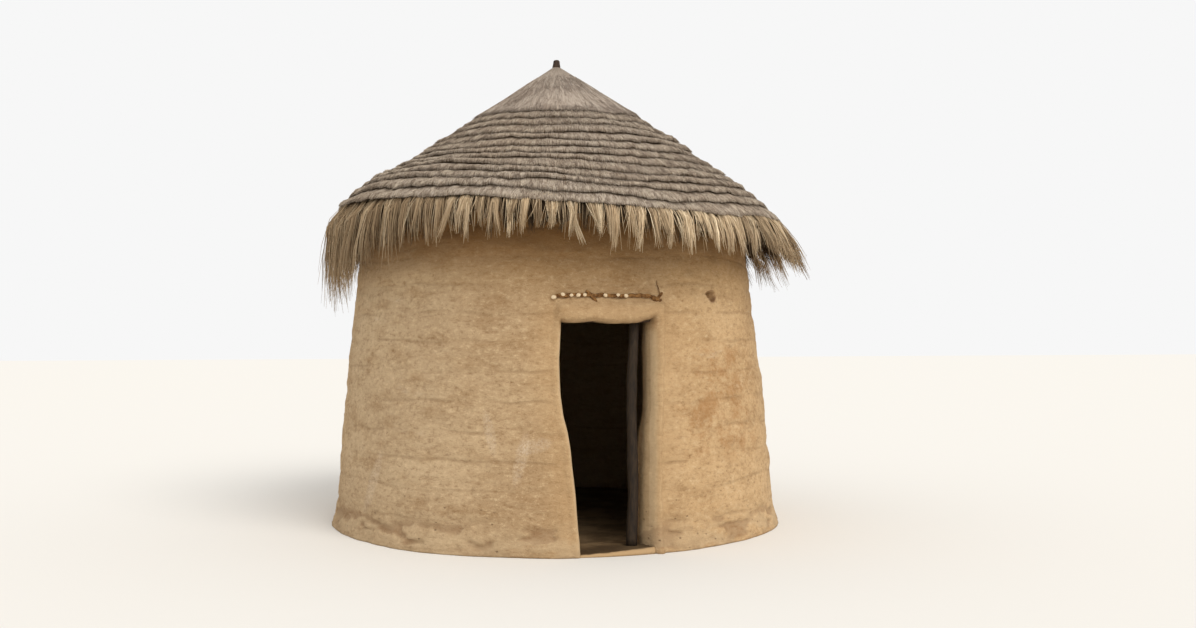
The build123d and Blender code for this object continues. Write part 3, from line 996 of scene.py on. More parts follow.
def lashings_tree():
    """Winds a ring of cord round every point, turned and sized as the point says."""
    tree = Growth("lashings", {"Cord radius": 0.14})
    loop = tree.node(circle, {"Resolution": 12, "Radius": 1.0})["Curve"]
    cord = tree.node(circle, {"Resolution": 4, "Radius": tree.given["Cord radius"]})["Curve"]
    ring = tree.node(sweep, {"Curve": loop, "Profile Curve": cord})["Mesh"]
    return tree.close(tree.on_points(ring, tree.carried("reach", "FLOAT_VECTOR")))


strands, shell_growth, cords = strands_tree(), shells_tree(), lashings_tree()
print("trees:", [tree.name for tree in bpy.data.node_groups])

# %% Ridge with shells


ridge_x = [-0.37, -0.30, -0.1, 0.2, 0.36, 0.42, 0.47, 0.52]
ridge_z = [1.948, 1.966, 1.970, 1.966, 1.968, 1.962, 1.932, 1.940]


def ridge_line(x, z=None):
    """A line on the wall over the doorway, at the ridge's own height unless z is given."""
    if z is None:
        z = np.interp(x, ridge_x, ridge_z)
    radius = outer_radius(z)
    angle = np.arcsin(x / radius)
    return from_axis(radius + relief(angle, z, edge=0.2, band=1.2) + 0.005, angle, z)


def ridge_strand(phase, seed):
    """One of the two twisted rolls of mud."""
    across = np.linspace(-0.374, 0.512, 110)
    path = ridge_line(across)
    turn = 2 * np.pi * (across / 0.155 + 0.25 * noise(across * 6, seed * 1.3, 0, 70)) + phase
    loose = 0.75 + 0.35 * noise(across * 7, seed * 2.1, 0, 71)
    path[:, 2] += 0.0095 * np.cos(turn) * loose
    path[:, 1] -= 0.005 + 0.004 * np.sin(turn)
    ends = np.minimum(across - across[0], across[-1] - across)
    radii = (0.0104 + 0.0034 * noise(across * 18, seed, 0, 72)) * (0.35 + 0.65 * smooth_step(0, 0.06, ends))
    return tube(path, radii, 9, seed, lumps=0.25)


def short_roll(x0, z0, x1, z1, thick, seed):
    t = np.linspace(0, 1, 9)
    path = ridge_line(x0 + (x1 - x0) * t, z0 + (z1 - z0) * t + 0.004 * np.sin(3 * t))
    path[:, 1] -= 0.004
    return tube(path, thick * (0.5 + np.sin(np.pi * t) * 0.5 + 0.1), 8, seed, lumps=0.25)


def ridge_piece():
    """The twisted rolls, a loose tail in the middle and a knot at the right end."""
    parts = [ridge_strand(0.0, 73), ridge_strand(math.pi, 74)]
    parts.append(short_roll(-0.110, 2.004, -0.022, 1.910, 0.013, 75))
    parts.append(short_roll(0.446, 1.905, 0.520, 1.992, 0.014, 76))
    parts.append(short_roll(0.440, 1.965, 0.512, 1.908, 0.011, 77))
    parts.append(short_roll(0.474, 2.090, 0.500, 1.970, 0.0032, 78))
    return new_object("mud_ridge", *gathered(parts))


def ridge_shells(finish):
    """The shells: pale domes, close together at the left and farther apart at the right."""
    generator = np.random.default_rng(12)
    places = np.array([-0.356, -0.288, -0.222, -0.170, -0.121, 0.041, 0.143, 0.207])
    middle = ridge_line(places)
    out = middle * [1, 1, 0]
    out /= np.linalg.norm(out, axis=1)[:, None]
    points = middle + out * 0.0135
    points[:, 2] += generator.uniform(-0.002, 0.005, len(places))
    heading = np.arctan2(out[:, 1], out[:, 0]) + math.pi / 2
    size = generator.uniform(0.88, 1.12, len(places))
    turn = np.stack([0 * heading, generator.uniform(-0.4, 0.4, len(places)), heading], axis=-1)
    shells = new_object("ridge_shells", points, [], {"size": size, "turn": turn})
    return shell_growth.use_on(shells, Finish=finish)


shell_ridge = hand_over(ridge_piece(), "shell_set_earth", "shell_ridge")

# %% [markdown]
# ## The roof's frame
# Ten long poles meet at a short log, ten shorter ones lie between them, and hoops of withies are
# tied over them all. Slope coordinates make this easy: s runs down the slope under the thatch, and n
# stands off it.

# %% Slope coordinates
pitch = math.radians(35.0)
pitch_sin, pitch_cos = math.sin(pitch), math.cos(pitch)
cap_reach, eave_reach, courses = 0.765, 2.140, 12
lip_thickness, body_thickness = 0.125, 0.104
cone_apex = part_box("thatch_cap")[1][2]
slope_apex = cone_apex - lip_thickness / pitch_cos


def along_slope(reach, off):
    return (reach - off * pitch_sin) / pitch_cos


def from_slope(s, n, angle):
    """A point from its place on the slope and its angle round from the doorway."""
    s, n, angle = np.broadcast_arrays(np.asarray(s, float), n, angle)
    return from_axis(s * pitch_cos + n * pitch_sin, angle, slope_apex - s * pitch_sin + n * pitch_cos)


ring_width = eave_reach - cap_reach
lip_slopes = [along_slope(cap_reach + ring_width * n / courses, lip_thickness) for n in range(courses + 1)]
eave_degrees = [-180, -140, -100, -60, -40, -21, 0, 9, 17, 28, 36, 60, 80, 110, 140, 180]
eave_reaches = [2.08, 2.03, 1.935, 1.945, 1.985, 2.02, 2.075, 2.12]
eave_reaches += [2.145, 2.13, 2.095, 2.045, 2.02, 2.04, 2.06, 2.08]


def eave_factor(angle):
    """How far out the eave lies at this angle, as a part of its usual reach."""
    degrees = (np.degrees(angle) + 180) % 360 - 180
    return np.interp(degrees, eave_degrees, eave_reaches) / eave_reach


print("cone apex at", round(cone_apex, 3), "slope apex at", round(slope_apex, 3))

# %% Rafters, hoops and the log
main_angles = [math.radians(36 * (n + 0.25)) for n in range(10)]
jack_angles = [angle - math.radians(18) for angle in main_angles]
hoop_slopes = [along_slope(0.50 + 0.302 * n, -0.0143) for n in range(6)]


def rafter_pole(angle, tip, seed):
    foot = min(2.035, eave_reach * float(eave_factor(angle)) - 0.11)
    t = np.linspace(0, 1, 22)
    reach = tip + (foot - tip) * t
    radius = 0.019 + (0.034 - 0.019) * (reach - 0.042) / (2.035 - 0.042)
    crook = 0.010 * noise(t * 2.6, seed * 1.7, 0, 81) * smooth_step(0, 0.15, t)
    off = 0.0300 + radius
    path = from_slope(along_slope(reach, -(0.0292 + radius)), -off, angle + crook / (0.4 + reach))
    knots = 1 + 0.10 * np.clip(noise(t * 13, seed * 3.1, 0, 82), 0, 1)
    return tube(path, radius * knots, 10, seed, lumps=0.06)


def hoop_withy(s, seed):
    turn = np.linspace(0, 2 * np.pi, 120, endpoint=False)
    crook = 0.003 * noise(np.sin(turn) * 3, np.cos(turn) * 3, 0, seed)
    s = np.minimum(s, along_slope(eave_reach * eave_factor(turn) - 0.14, 0))
    path = from_slope(s + 2 * crook, -0.0150 + 0 * turn, turn)
    radii = 0.0125 + 0.0012 * noise(np.sin(turn) * 9, np.cos(turn) * 9, 0, seed + 1)
    return tube(path, radii, 8, seed, closed=True, lumps=0.10)


def poles(name, node, angles, tip, seed):
    """One piece of all rafters of a kind, each from its tip near the log to its foot past the wall."""
    parts = [rafter_pole(angle, tip, seed + n) for n, angle in enumerate(angles)]
    return hand_over(new_object(name, *gathered(parts)), "roof_poles", node)


long_poles = poles("long_poles", "main_rafters", main_angles, 0.045, 100)
short_poles = poles("short_poles", "jack_rafters", jack_angles, 0.430, 120)
withies = [new_object(f"withy_{6 - n}", *hoop_withy(s, 140 + 2 * n)) for n, s in enumerate(hoop_slopes)]
for withy in withies:
    hand_over(withy, "withy_hoops", withy.name.replace("withy", "hoop"))


def lashing_points():
    """Where a hoop crosses a rafter, with the turn that lays a ring of cord round both."""
    places, turns, sizes = [], [], []
    for s in hoop_slopes:
        for angle in main_angles + jack_angles:
            if s < along_slope(0.46, 0) and angle in jack_angles:
                continue
            if s * pitch_cos > eave_reach * float(eave_factor(angle)) - 0.13:
                continue
            places.append(from_slope(s + 0.010, -0.047, angle))
            turns.append((0, math.pi / 2 + pitch, angle - math.pi / 2))
            sizes.append((0.047, 0.037, 0.037))
    return places, turns, sizes


lashing_places, lashing_turns, lashing_sizes = lashing_points()
print(len(lashing_places), "lashings")


def apex_piece():
    """The log that the poles meet in, and the peg that stands out of the thatch as a dark knob."""
    low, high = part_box("apex_log")[0][2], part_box("apex_log")[1][2]
    shoulder = slope_apex - 0.0725 * math.tan(pitch)
    heights_log = [low, low + 0.006, low + 0.07, shoulder - 0.008, shoulder]
    log = tube([(0, 0, z) for z in heights_log], [0.066, 0.072, 0.070, 0.071, 0.066], 24, 91, lumps=0.03)
    heights_peg = [shoulder - 0.02, shoulder + 0.05, cone_apex - 0.04, cone_apex - 0.012, cone_apex + 0.008]
    heights_peg += [high - 0.012, high - 0.003, high - 0.0005]
    radii_peg = [0.026, 0.026, 0.036, 0.035, 0.031, 0.029, 0.020, 0.006]
    lean = np.array([0.0, 0.0, 0.001, 0.002, 0.003, 0.005, 0.005, 0.005])
    peg = tube([(x, 0, z) for x, z in zip(lean, heights_peg)], radii_peg, 14, 92, lumps=0.10)
    return new_object("apex_knob", *gathered([log, peg]))


apex_knob = hand_over(apex_piece(), "apex_wood", "apex_log")

# %% [markdown]
# ## Thatch
# A thatcher works from the eave up. Each ring of grass lies on the one below and ends in a lip cut by
# eye, so the lips wander. Under a shell for each ring lie the real thickness and the shadow. On it
# lie single straws, laid by Geometry Nodes, some of which stick out over the lip.
#
# The roof isn't a true cone. Its eave droops, it is drawn in at the left, where the straw falls straight
# down, and the right slope has a slight belly. One function moves every point of the thatch by as much.

# %% The roof's own shape


def settled(points):
    """Moves points of the thatch from the true cone to the settled roof."""
    points = np.asarray(points, float)
    x, y, z = points[..., 0], points[..., 1], points[..., 2]
    r = np.hypot(x, y)
    angle = np.arctan2(x, -y)
    rightward, leftward = sides_of(angle)
    across = (slope_apex - z) * pitch_cos - r * pitch_sin
    t = np.clip(r / eave_reach, 0, 1.1)
    hump = np.sin(np.pi * np.clip(t, 0, 1)) ** 0.8
    belly = (0.006 + 0.030 * rightward) * hump - 0.010 * leftward * hump * (1 - t)
    belly = belly + 0.050 * leftward**1.5 * bell(t, 0.86, 0.13)
    belly = belly + 0.012 * noise(x * 1.4, y * 1.4, z * 1.4, 201) * smooth_step(0.08, 0.4, t)
    belly = belly * (-across / lip_thickness)
    low = smooth_step(0.50, 0.97, t)
    slide = (eave_factor(angle) - 1) * low * eave_reach
    droop = 0.25 * (1 + 1.2 * rightward**4 - 0.7 * leftward**2) * np.clip(r + slide - 1.72, 0, 1) ** 2
    out = slide + belly * pitch_sin
    up = -slide * pitch_sin / pitch_cos + belly * pitch_cos - droop * np.clip(-across / lip_thickness, 0, 1.3)
    scale = np.where(r > 1e-6, (r + out) / np.maximum(r, 1e-6), 1.0)
    return np.stack([x * scale, y * scale, z + up], axis=-1)


def lip_wander(angle, number):
    """How far down the slope a lip lies from its even place, and how thick it is there."""
    reach = lip_slopes[number] * pitch_cos
    x, y = reach * np.sin(angle), reach * np.cos(angle)
    seed = 210 + 7 * number
    shift = 0.020 * noise(x * 1.0, y * 1.0, number, seed) + 0.019 * noise(x * 2.9, y * 2.9, 0, seed + 1)
    shift = shift + 0.013 * noise(x * 9, y * 9, 0, seed + 2) + 0.009 * noise(x * 27, y * 27, 0, seed + 3)
    thick = 0.012 * noise(x * 1.9, y * 1.9, 0, seed + 4) + 0.008 * noise(x * 7, y * 7, 0, seed + 5)
    thick = thick + 0.004 * noise(x * 24, y * 24, 0, seed + 6) - 0.008 * max(0, 1 - number / 5)
    return shift, thick


def lumps(points, number):
    """Small unevenness of the thatch's face, in metres."""
    x, y, z = points[..., 0], points[..., 1], points[..., 2]
    return 0.0034 * noise(x * 34, y * 34, z * 12, 300 + number) + 0.0052 * noise(x * 8, y * 8, z * 8, 320)


print("lip 6 wanders by", np.round(lip_wander(np.linspace(0, 1, 4), 6)[0], 4))

# %% Shells of the rings and the cap


def ring_rows(number, angle, end, thick):
    """A ring's rows, as the way down the slope and the distance off it: seen ones, then hidden ones."""
    shift_above, thick_above = lip_wander(angle, number - 1)
    start = lip_slopes[number - 1] + shift_above
    rise, base = lip_thickness + thick, body_thickness + 0.5 * thick_above
    length = end - start
    roll = np.minimum(0.046, 0.30 * length)
    seen = [(start - 0.060, base - 0.012), (start - 0.006, base)]
    for part, share in ((0.14, 0.14), (0.32, 0.42), (0.52, 0.74)):
        seen.append((start + part * length, base + (rise - base) * share))
    seen += [(end - 1.3 * roll, base + (rise - base) * 0.93), (end - roll, rise)]
    seen += [(end - 0.5 * roll, rise - 0.003), (end - 0.006, rise - 0.010)]
    return start, rise, seen, [((start + end) / 2, 0.004), (start - 0.060, 0.006)]


def cap_rows(end, thick):
    """The same for the cap, which the knob closes at the top."""
    rise = lip_thickness + 0.6 * thick
    tops = [-0.066, -0.040, 0.02, 0.10, 0.20, 0.32, 0.45, 0.60, 0.76]
    seen = [(top, lip_thickness + 0.35 * thick * min(1, max(0, top / 0.3))) for top in tops]
    seen += [(end - 0.044, rise), (end - 0.022, rise - 0.003), (end - 0.008, rise - 0.010)]
    return rise, seen, [(0.60, 0.004), (0.10, 0.004)]


def thatch_shell(number):
    """Points, faces and values of a ring, or of the cap for number 0. Each column is a closed section."""
    reach = lip_slopes[number] * pitch_cos
    columns = int(2 * math.pi * reach / (0.0215))
    if number == 0:
        columns = 300
    angle = np.linspace(0, 2 * np.pi, columns, endpoint=False)
    shift, thick = lip_wander(angle, number)
    end = lip_slopes[number] + shift
    if number:
        start, rise, seen, hidden = ring_rows(number, angle, end, thick)
    else:
        rise, seen, hidden = cap_rows(end, thick)
    seen.append((end - 0.001, rise - 0.017))
    folded = [(end - 0.008, rise - 0.024), (end - 0.050, body_thickness - 0.010), (end - 0.070, 0.006)]
    section = seen + folded + hidden
    s = np.stack([np.broadcast_to(a, angle.shape) for a, _ in section], axis=-1)
    n = np.stack([np.broadcast_to(b, angle.shape) for _, b in section], axis=-1)
    cone = from_slope(s, n, angle[:, None])
    row = np.arange(len(section))
    outside = row < len(seen)
    cone[..., 2] += lumps(cone, number) * outside * (1.0 if number else smooth_step(0.0, 0.3, s))
    points = settled(cone).reshape(-1, 3)
    values = {
        "down": s.ravel(),
        # A painted shade on each ring just under the lip of the ring above.
        "tuck": np.exp(-(np.clip(s - start[:, None], 0, 1) / 0.024)).ravel() if number else 0.0,
        # Marks the lip's rounded front, which the finish paints with speckled shade.
        "lip": np.tile(outside & (row >= len(seen) - 2), columns).astype(float),
        # 0 on the lip's underside and the hidden rows, which the finish paints in dark shade.
        "face": np.tile(outside & ((row > 0) | (number == 0)), columns).astype(float),
    }
    faces = grid_faces(columns, len(section), wrap_rows=True, wrap_columns=True)
    return points, outward(points, faces), values


print("points in the eave ring:", len(thatch_shell(12)[0]))

# %% Single straws


def blades(lines, values, finish):
    """Lines made into thin blades by Geometry Nodes: points, faces and values."""
    count, length = lines.shape[:2]
    first = np.arange(count)[:, None] * length + np.arange(length - 1)[None, :]
    edges = np.stack([first, first + 1], axis=-1).reshape(-1, 2).tolist()
    at_points = {key: np.broadcast_to(numbers, (count, length)).ravel() for key, numbers in values.items()}
    piece = new_object("blades", lines.reshape(-1, 3), [], at_points, edges)
    return mesh_arrays(strands.use_on(piece, Finish=finish))


straw_keys = ["shade", "along", "down", "face", "tuck", "lip"]


def mesh_arrays(piece):
    """A plain mesh as points, faces and values, and the object gone."""
    mesh = piece.data
    points = np.empty(len(mesh.vertices) * 3)
    mesh.vertices.foreach_get("co", points)
    faces = [tuple(p.vertices) for p in mesh.polygons]
    values = {}
    for key in straw_keys:
        numbers = np.zeros(len(mesh.vertices), dtype=np.float32)
        if key in mesh.attributes:
            mesh.attributes[key].data.foreach_get("value", numbers)
        values[key] = numbers
    bpy.data.objects.remove(piece)
    return points.reshape(-1, 3), faces, values


def merged(name, parts, finishes):
    """One object from several lots of points, faces and values. Each lot wears its own finish."""
    points, faces = gathered([part[:2] for part in parts])
    values = {}
    for key in straw_keys:
        numbers = [np.broadcast_to(part[2].get(key, 0.0), len(part[0])) for part in parts]
        values[key] = np.concatenate(numbers)
    made = new_object(name, points, faces, values)
    for finish in finishes:
        made.data.materials.append(finish)
    wear = np.repeat(np.arange(len(parts)), [len(part[1]) for part in parts])
    made.data.polygons.foreach_set("material_index", wear)
    return made


def ring_straws(number):
    """Straws on one ring, each a short line down the slope. Some stick out over the lip."""
    generator = np.random.default_rng(400 + number)
    lip = lip_slopes[number]
    top = lip_slopes[number - 1] if number else 0.10
    reach = lip * pitch_cos
    area = math.pi * ((lip * pitch_cos) ** 2 - (top * pitch_cos) ** 2) / pitch_cos
    count = int(area * (2500))
    angle = generator.uniform(0, 2 * np.pi, count)
    shift, thick = lip_wander(angle, number)
    end = lip + shift
    start = top + (lip_wander(angle, number - 1)[0] if number else 0.0)
    base = body_thickness if number else lip_thickness
    rise = lip_thickness + (1.0 if number else 0.6) * thick
    over = generator.random(count) < 0.5
    if number:
        past_lip = end + generator.uniform(-0.016, 0.016, count)
        last = np.where(over, past_lip, generator.uniform(start + 0.04, end - 0.012))
        first = np.maximum(last - generator.uniform(0.035, 0.10, count), start - 0.02)
    else:
        square = np.sqrt(generator.uniform(0.02, 1.0, count))
        past_lip = end + generator.uniform(-0.012, 0.014, count)
        last = np.where(over & (square > 0.8), past_lip, 0.14 + (end - 0.15) * square)
        first = np.maximum(last - generator.uniform(0.05, 0.15, count), 0.03)
    part = np.array([0.0, 1.0])
    s = first[:, None] + (last - first)[:, None] * part
    along = np.clip((s - start[:, None] if number else s) / (end - start if number else end)[:, None], 0, 1)
    profile = np.interp(along, [0, 0.14, 0.32, 0.52, 0.70, 0.9, 1.0], [0, 0.14, 0.42, 0.74, 1.0, 0.92, 0.72])
    n = base + (rise[:, None] - base) * profile + generator.uniform(-0.0004, 0.0030, count)[:, None]
    n[:, 1] += generator.uniform(-0.001, 0.004, count) * over
    skew = generator.normal(0, 0.016, count) / np.maximum(last * pitch_cos, 0.12)
    turned = angle[:, None] + skew[:, None] * (part - 0.5)
    lines = from_slope(s, n, turned)
    lines[..., 2] += lumps(lines, number) * (1.0 if number else smooth_step(0.0, 0.3, s))
    lines = settled(lines)
    size = generator.uniform(0.0015, 0.0034, count)[:, None]
    round_lip = angle * reach
    coarse = noise(round_lip * 24, last * 13, number, 91)
    clump = 0.5 + 0.8 * coarse + 0.4 * noise(round_lip * 60, last * 24, number, 92)
    values = {
        "width": size * np.array([1.0, 0.6]),
        "shade": np.clip(0.45 * generator.random(count) + 0.55 * clump, 0, 1)[:, None],
        "along": part,
        "down": s,
        "face": 1.0,
        "tuck": np.exp(-(np.clip(s - np.broadcast_to(start, count)[:, None], 0, 1) / 0.020)) * (number > 0),
    }
    return lines, values


print("straws on the eave ring:", len(ring_straws(12)[0]))

# %% [markdown]
# ## The fringe
# From under the lowest lip long straw bends over and hangs in locks, that the wind has combed
# together. Each lock has its own length and lean. Its straws start side by side and meet at the tip.

# %% Fringe


def fringe_character(angle):
    """Length of the fringe and the steepness of its tips, by angle: it's longer and steeper at the left."""
    rightward, leftward = sides_of(angle)
    length = 0.335 + 0.50 * leftward**4 + 0.28 * rightward**3 + 0.04 * np.clip(-np.cos(angle), 0, 1)
    steep = np.radians(82 + 14 * leftward**1.5 - 15 * rightward**1.5)
    return length, steep


def hanging(root_angle, length, steep, start_off, bend, steps, sideways):
    """Paths that leave the slope under the lowest lip and bend over. Inputs are arrays over the straws."""
    u = np.linspace(0, 1, steps)[None, :]
    fine = np.linspace(0, 1, 25)[None, :]
    first = pitch + np.radians(3 + 4 * np.clip(np.sin(root_angle), 0, 1))[:, None]
    bend = (bend * (1 + 0.30 * np.clip(-np.sin(root_angle), 0, 1) ** 2))[:, None]
    tilt = first + (steep[:, None] - first) * smooth_step(0.0, 1.0, np.clip(fine * bend, 0, 1))
    step = length[:, None] / 24
    none = np.zeros((len(length), 1))
    out = np.concatenate([none, np.cumsum(np.cos(tilt[:, 1:]) * step, axis=1)], axis=1)
    fall = np.concatenate([none, np.cumsum(np.sin(tilt[:, 1:]) * step, axis=1)], axis=1)
    pick = np.linspace(0, 24, steps).round().astype(int)
    root = settled(from_slope(lip_slopes[courses] - 0.075, start_off, root_angle))
    r = np.hypot(root[:, 0], root[:, 1])[:, None] + out[:, pick]
    return from_axis(r, root_angle[:, None] + sideways(u) / r, root[:, 2][:, None] - fall[:, pick])


def lock_lines(locks, each, seed, steps, reach_part, off, size_range, wide=0.50, meets=(0.60, 0.95)):
    """Straws of many locks, as lines of points. The middle straws of a lock are the longest."""
    generator = np.random.default_rng(seed)
    pitch_angle = 2 * np.pi / locks
    centre = (np.arange(locks) + generator.uniform(-0.38, 0.38, locks)) * pitch_angle
    patch = noise(3.1 * np.sin(centre), 3.1 * np.cos(centre), 0, seed)
    lock_long = generator.uniform(0.66, 1.14, locks) * (1 + 0.18 * patch)
    lock_wide = generator.uniform(0.75, 1.35, locks)
    lock_lean = generator.normal(0, 0.030, locks)
    lock_curl = generator.normal(0, 0.030, locks)
    lock_meet = generator.uniform(*meets, locks)
    lock_bend = generator.uniform(1.0, 1.8, locks)
    lock_lift = generator.uniform(-7, 8, locks)
    lock_tone = generator.random(locks) ** 0.8
    of = np.repeat(np.arange(locks), each)
    count = len(of)
    spread = generator.uniform(-1, 1, count)
    angle = centre[of] + spread * pitch_angle * wide * lock_wide[of]
    length, steep = fringe_character(angle)
    own = (1 - 0.40 * np.abs(spread) ** 1.7) * (1 - 0.42 * generator.random(count) ** 1.7)
    length = length * reach_part * lock_long[of] * own + 0.075
    steep = steep - np.radians(lock_lift[of]) + np.radians(generator.normal(0, 3.5, count))
    across = spread * pitch_angle * wide * lock_wide[of] * eave_reach
    meet = across * lock_meet[of] - lock_lean[of] * own + generator.normal(0, 0.011, count)
    curl = lock_curl[of] * own + generator.normal(0, 0.006, count)
    start = off + generator.uniform(-0.024, 0.012, count) * (1 - 0.5 * np.abs(spread))

    def sideways(u):
        return curl[:, None] * u**2 - meet[:, None] * u**1.1

    lines = hanging(angle, length, steep, start, lock_bend[of], steps, sideways)
    taper = np.interp(np.linspace(0, 1, steps), [0, 0.15, 0.6, 1], [0.8, 1.0, 0.85, 0.30])
    size = generator.uniform(*size_range, count)[:, None]
    values = {
        "width": size * taper,
        "shade": (0.55 * generator.random(count) + 0.45 * lock_tone[of])[:, None],
        "along": np.linspace(0, 1, steps),
        "down": np.linspace(0, 1, steps)[None, :] * length[:, None],
        "face": 1.0,
        "tuck": 0.0,
    }
    return lines, values


def skirt():
    """The dense root of the fringe, just under the lip: a closed shell with a ragged lower edge."""
    columns = 560
    angle = np.linspace(0, 2 * np.pi, columns, endpoint=False)
    x, y = 2.2 * np.sin(angle), 2.2 * np.cos(angle)
    ragged = 0.018 * noise(x * 9, y * 9, 0, 501) + 0.014 * noise(x * 24, y * 24, 0, 502)
    length, steep = fringe_character(angle)
    long = 0.100 + 0.10 * (length - 0.335) + ragged
    thick, straight = np.full(columns, 0.076), lambda u: 0 * u
    upper = hanging(angle, long, steep, thick, np.full(columns, 0.9), 6, straight)
    under = hanging(angle, long - 0.006, steep, thick - 0.040, np.full(columns, 1.0), 6, straight)
    section = np.concatenate([upper, under[:, ::-1]], axis=1)
    faces = grid_faces(columns, section.shape[1], wrap_rows=True, wrap_columns=True)
    points = section.reshape(-1, 3)
    down = np.tile(np.concatenate([np.linspace(0, 0.5, 6), np.linspace(0.5, 0, 6)]), columns)
    return points, outward(points, faces), {"down": down * 0.3, "along": down, "shade": 0.2, "face": 1.0}


print("locks ready")

# %% [markdown]
# ## Finishes
# Earth first. Its colour is a mix of two tans, drawn out sideways as the hand smoothed it. Joints,
# pits and a painted shade under the eave, partly stain, darken it, dust and dried splashes near the
# ground pale it.

# %% Earth finishes
# Pale smears where something chalky was rubbed on the wall: x, z, half width, half height and lean.
chalk_smears = [
    (-0.62, 0.72, 0.055, 0.24, 0.22),
    (-0.52, 0.82, 0.14, 0.075, 0.9),
    (-0.84, 0.92, 0.045, 0.20, -0.15),
    (-1.68, 0.48, 0.040, 0.30, 0.25),
]


def earth_finish(name, low, high):
    coat = Finish(name, roughness=0.96, specular=0.12)
    x, y, z = coat.axes()
    patches = coat.grain(0.9, detail=3, up=1.4)
    clouds = coat.grain(3.0, detail=6, roughness=0.62, up=2.4)
    drawn = coat.grain(6.5, detail=6, roughness=0.68, up=3.0)
    crumbs = coat.grain(46, detail=5, roughness=0.7)
    specks = coat.grain(140, detail=2)
    edge, lift, inner = (coat.stored(name) for name in ("edge", "lift", "inner"))
    coat.colour = coat.mix(patches.between(0.36, 0.66), low, high)
    coat.tint(x.between(-0.3, -1.5) * y.between(0.3, -0.6) * 0.34, rgb(206, 185, 154))
    coat.tint(x.between(0.40, 0.75) * y.between(-0.6, -1.2) * 0.40, rgb(212, 174, 126))
    coat.tint(clouds.between(0.46, 0.72) * 0.52, rgb(150, 117, 80))
    coat.tint(drawn.between(0.54, 0.74) * 0.46, rgb(207, 180, 142))
    coat.tint(drawn.between(0.47, 0.30) * 0.42, rgb(138, 106, 72))
    grit = coat.grain(20, detail=7, roughness=0.82, up=1.6)
    coat.tint(grit.between(0.49, 0.33) * 0.68, rgb(128, 96, 63))
    coat.tint(grit.between(0.51, 0.67) * 0.60, rgb(220, 194, 156))
    ochre = coat.grain(3.4, detail=7, roughness=0.78).between(0.46, 0.60)
    ochre = ochre * x.between(0.52, 0.74) * y.between(-1.0, -1.4)
    coat.tint(ochre * z.between(0.55, 0.85) * z.between(1.72, 1.45) * 0.52, rgb(158, 110, 62))
    smooth_earth = edge.between(0.34, 0.06) * (1.0 - inner.between(0.6, 0.9))
    coat.tint(smooth_earth * 0.40, rgb(190, 155, 112))
    # A painted highlight: a pale rim down the doorway's rounded edges, below its head.
    below_head = z.between(door_head - 0.02, door_head - 0.10)
    rim = edge.between(0.030, 0.0) * (1.0 - inner.between(0.3, 0.6)) * below_head
    coat.tint(rim * 0.5, rgb(226, 200, 160))
    # Painted shade along the lower edge of the doorway's head.
    under_head = edge.between(0.034, 0.0) * z.between(door_head - 0.03, door_head)
    coat.tint(under_head * 0.45, rgb(120, 90, 58))
    to_joint = abs((lift + 0.5).fraction() - 0.5)
    joint_here = coat.grain(1.9, detail=4, up=2.4).between(0.41, 0.60)
    joint = to_joint.between(0.085, 0.010) * joint_here * edge.between(0.04, 0.16)
    coat.tint(joint * 0.30, rgb(130, 101, 69))
    washed = coat.stored("wash").between(0.10, 0.95)
    coat.tint(washed * 0.56, rgb(132, 97, 66))
    coat.tint(z.between(1.85, 2.25) * 0.30, rgb(152, 114, 62))
    # Painted shade under the eave, partly stain: the wall darkens towards its head.
    eave = z.between(2.06, 2.50)
    coat.tint(eave * 0.82, rgb(120, 82, 42))
    foot = z.between(0.34, 0.03) * clouds.between(0.38, 0.56)
    coat.tint(foot * 0.50, rgb(196, 172, 138))
    damp = z.between(0.085, 0.015) * drawn.between(0.40, 0.60)
    coat.tint(damp * 0.40, rgb(133, 104, 74))
    runs = coat.grain(9.0, detail=4, roughness=0.6, up=0.22).between(0.56, 0.72)
    coat.tint(runs * z.between(0.9, 2.3) * 0.26, rgb(142, 112, 79))
    cells = {"Vector": coat.squeezed(1.5), "Scale": 13.0}
    hollow = coat.node("ShaderNodeTexVoronoi", {"feature": "F1"}, cells)
    pits = hollow.between(0.17, 0.08) * clouds.between(0.50, 0.58) * z.between(0.75, 0.12)
    coat.tint(pits * 0.55, rgb(92, 68, 44))
    chaff = coat.grain(75, detail=1, up=3.4).between(0.71, 0.77)
    coat.tint(chaff * 0.28, rgb(216, 194, 155))
    coat.tint(specks.between(0.62, 0.74) * 0.45, rgb(112, 86, 58))
    lime = coat.grain(2.1, detail=5, roughness=0.7, up=3.0).between(0.61, 0.74)
    coat.tint(lime * z.between(0.7, 1.0) * z.between(2.2, 1.9) * 0.24, rgb(224, 208, 184))
    rubbed = coat.grain(85, detail=4, roughness=0.8, up=0.7).between(0.36, 0.66)
    for at_x, at_z, wide, high, lean in chalk_smears:
        above = z - at_z
        aside = (x - at_x) - above * lean
        apart = (aside * aside) / wide**2 + (above * above) / high**2
        coat.tint(apart.between(1.0, 0.25) * y.between(0.0, -0.4) * rubbed * 0.30, rgb(222, 206, 186))
    socket_point = tuple(from_axis(outer_radius(socket_height), socket_angle, socket_height).tolist())
    from_socket = {0: coat.place, 1: socket_point}
    to_socket = coat.node("ShaderNodeVectorMath", {"operation": "DISTANCE"}, from_socket, output=1)
    coat.tint(to_socket.between(0.066, 0.036) * 0.85, rgb(104, 66, 40))
    # Painted shade on the inner face, inside the hut.
    coat.tint(inner.between(0.6, 0.9) * 0.62, rgb(118, 94, 66))
    height = clouds * 0.5 + drawn * 0.8 + grit * 0.9 + crumbs * 0.5 + specks * 0.12
    height = height - joint * 0.35 - pits * 0.8 + chaff * 0.1
    return coat.finished(height, distance=0.014, strength=0.75)


wall_finish = earth_finish("coursed_earth", rgb(172, 142, 106), rgb(192, 163, 126))
earth_wall.data.materials.append(wall_finish)


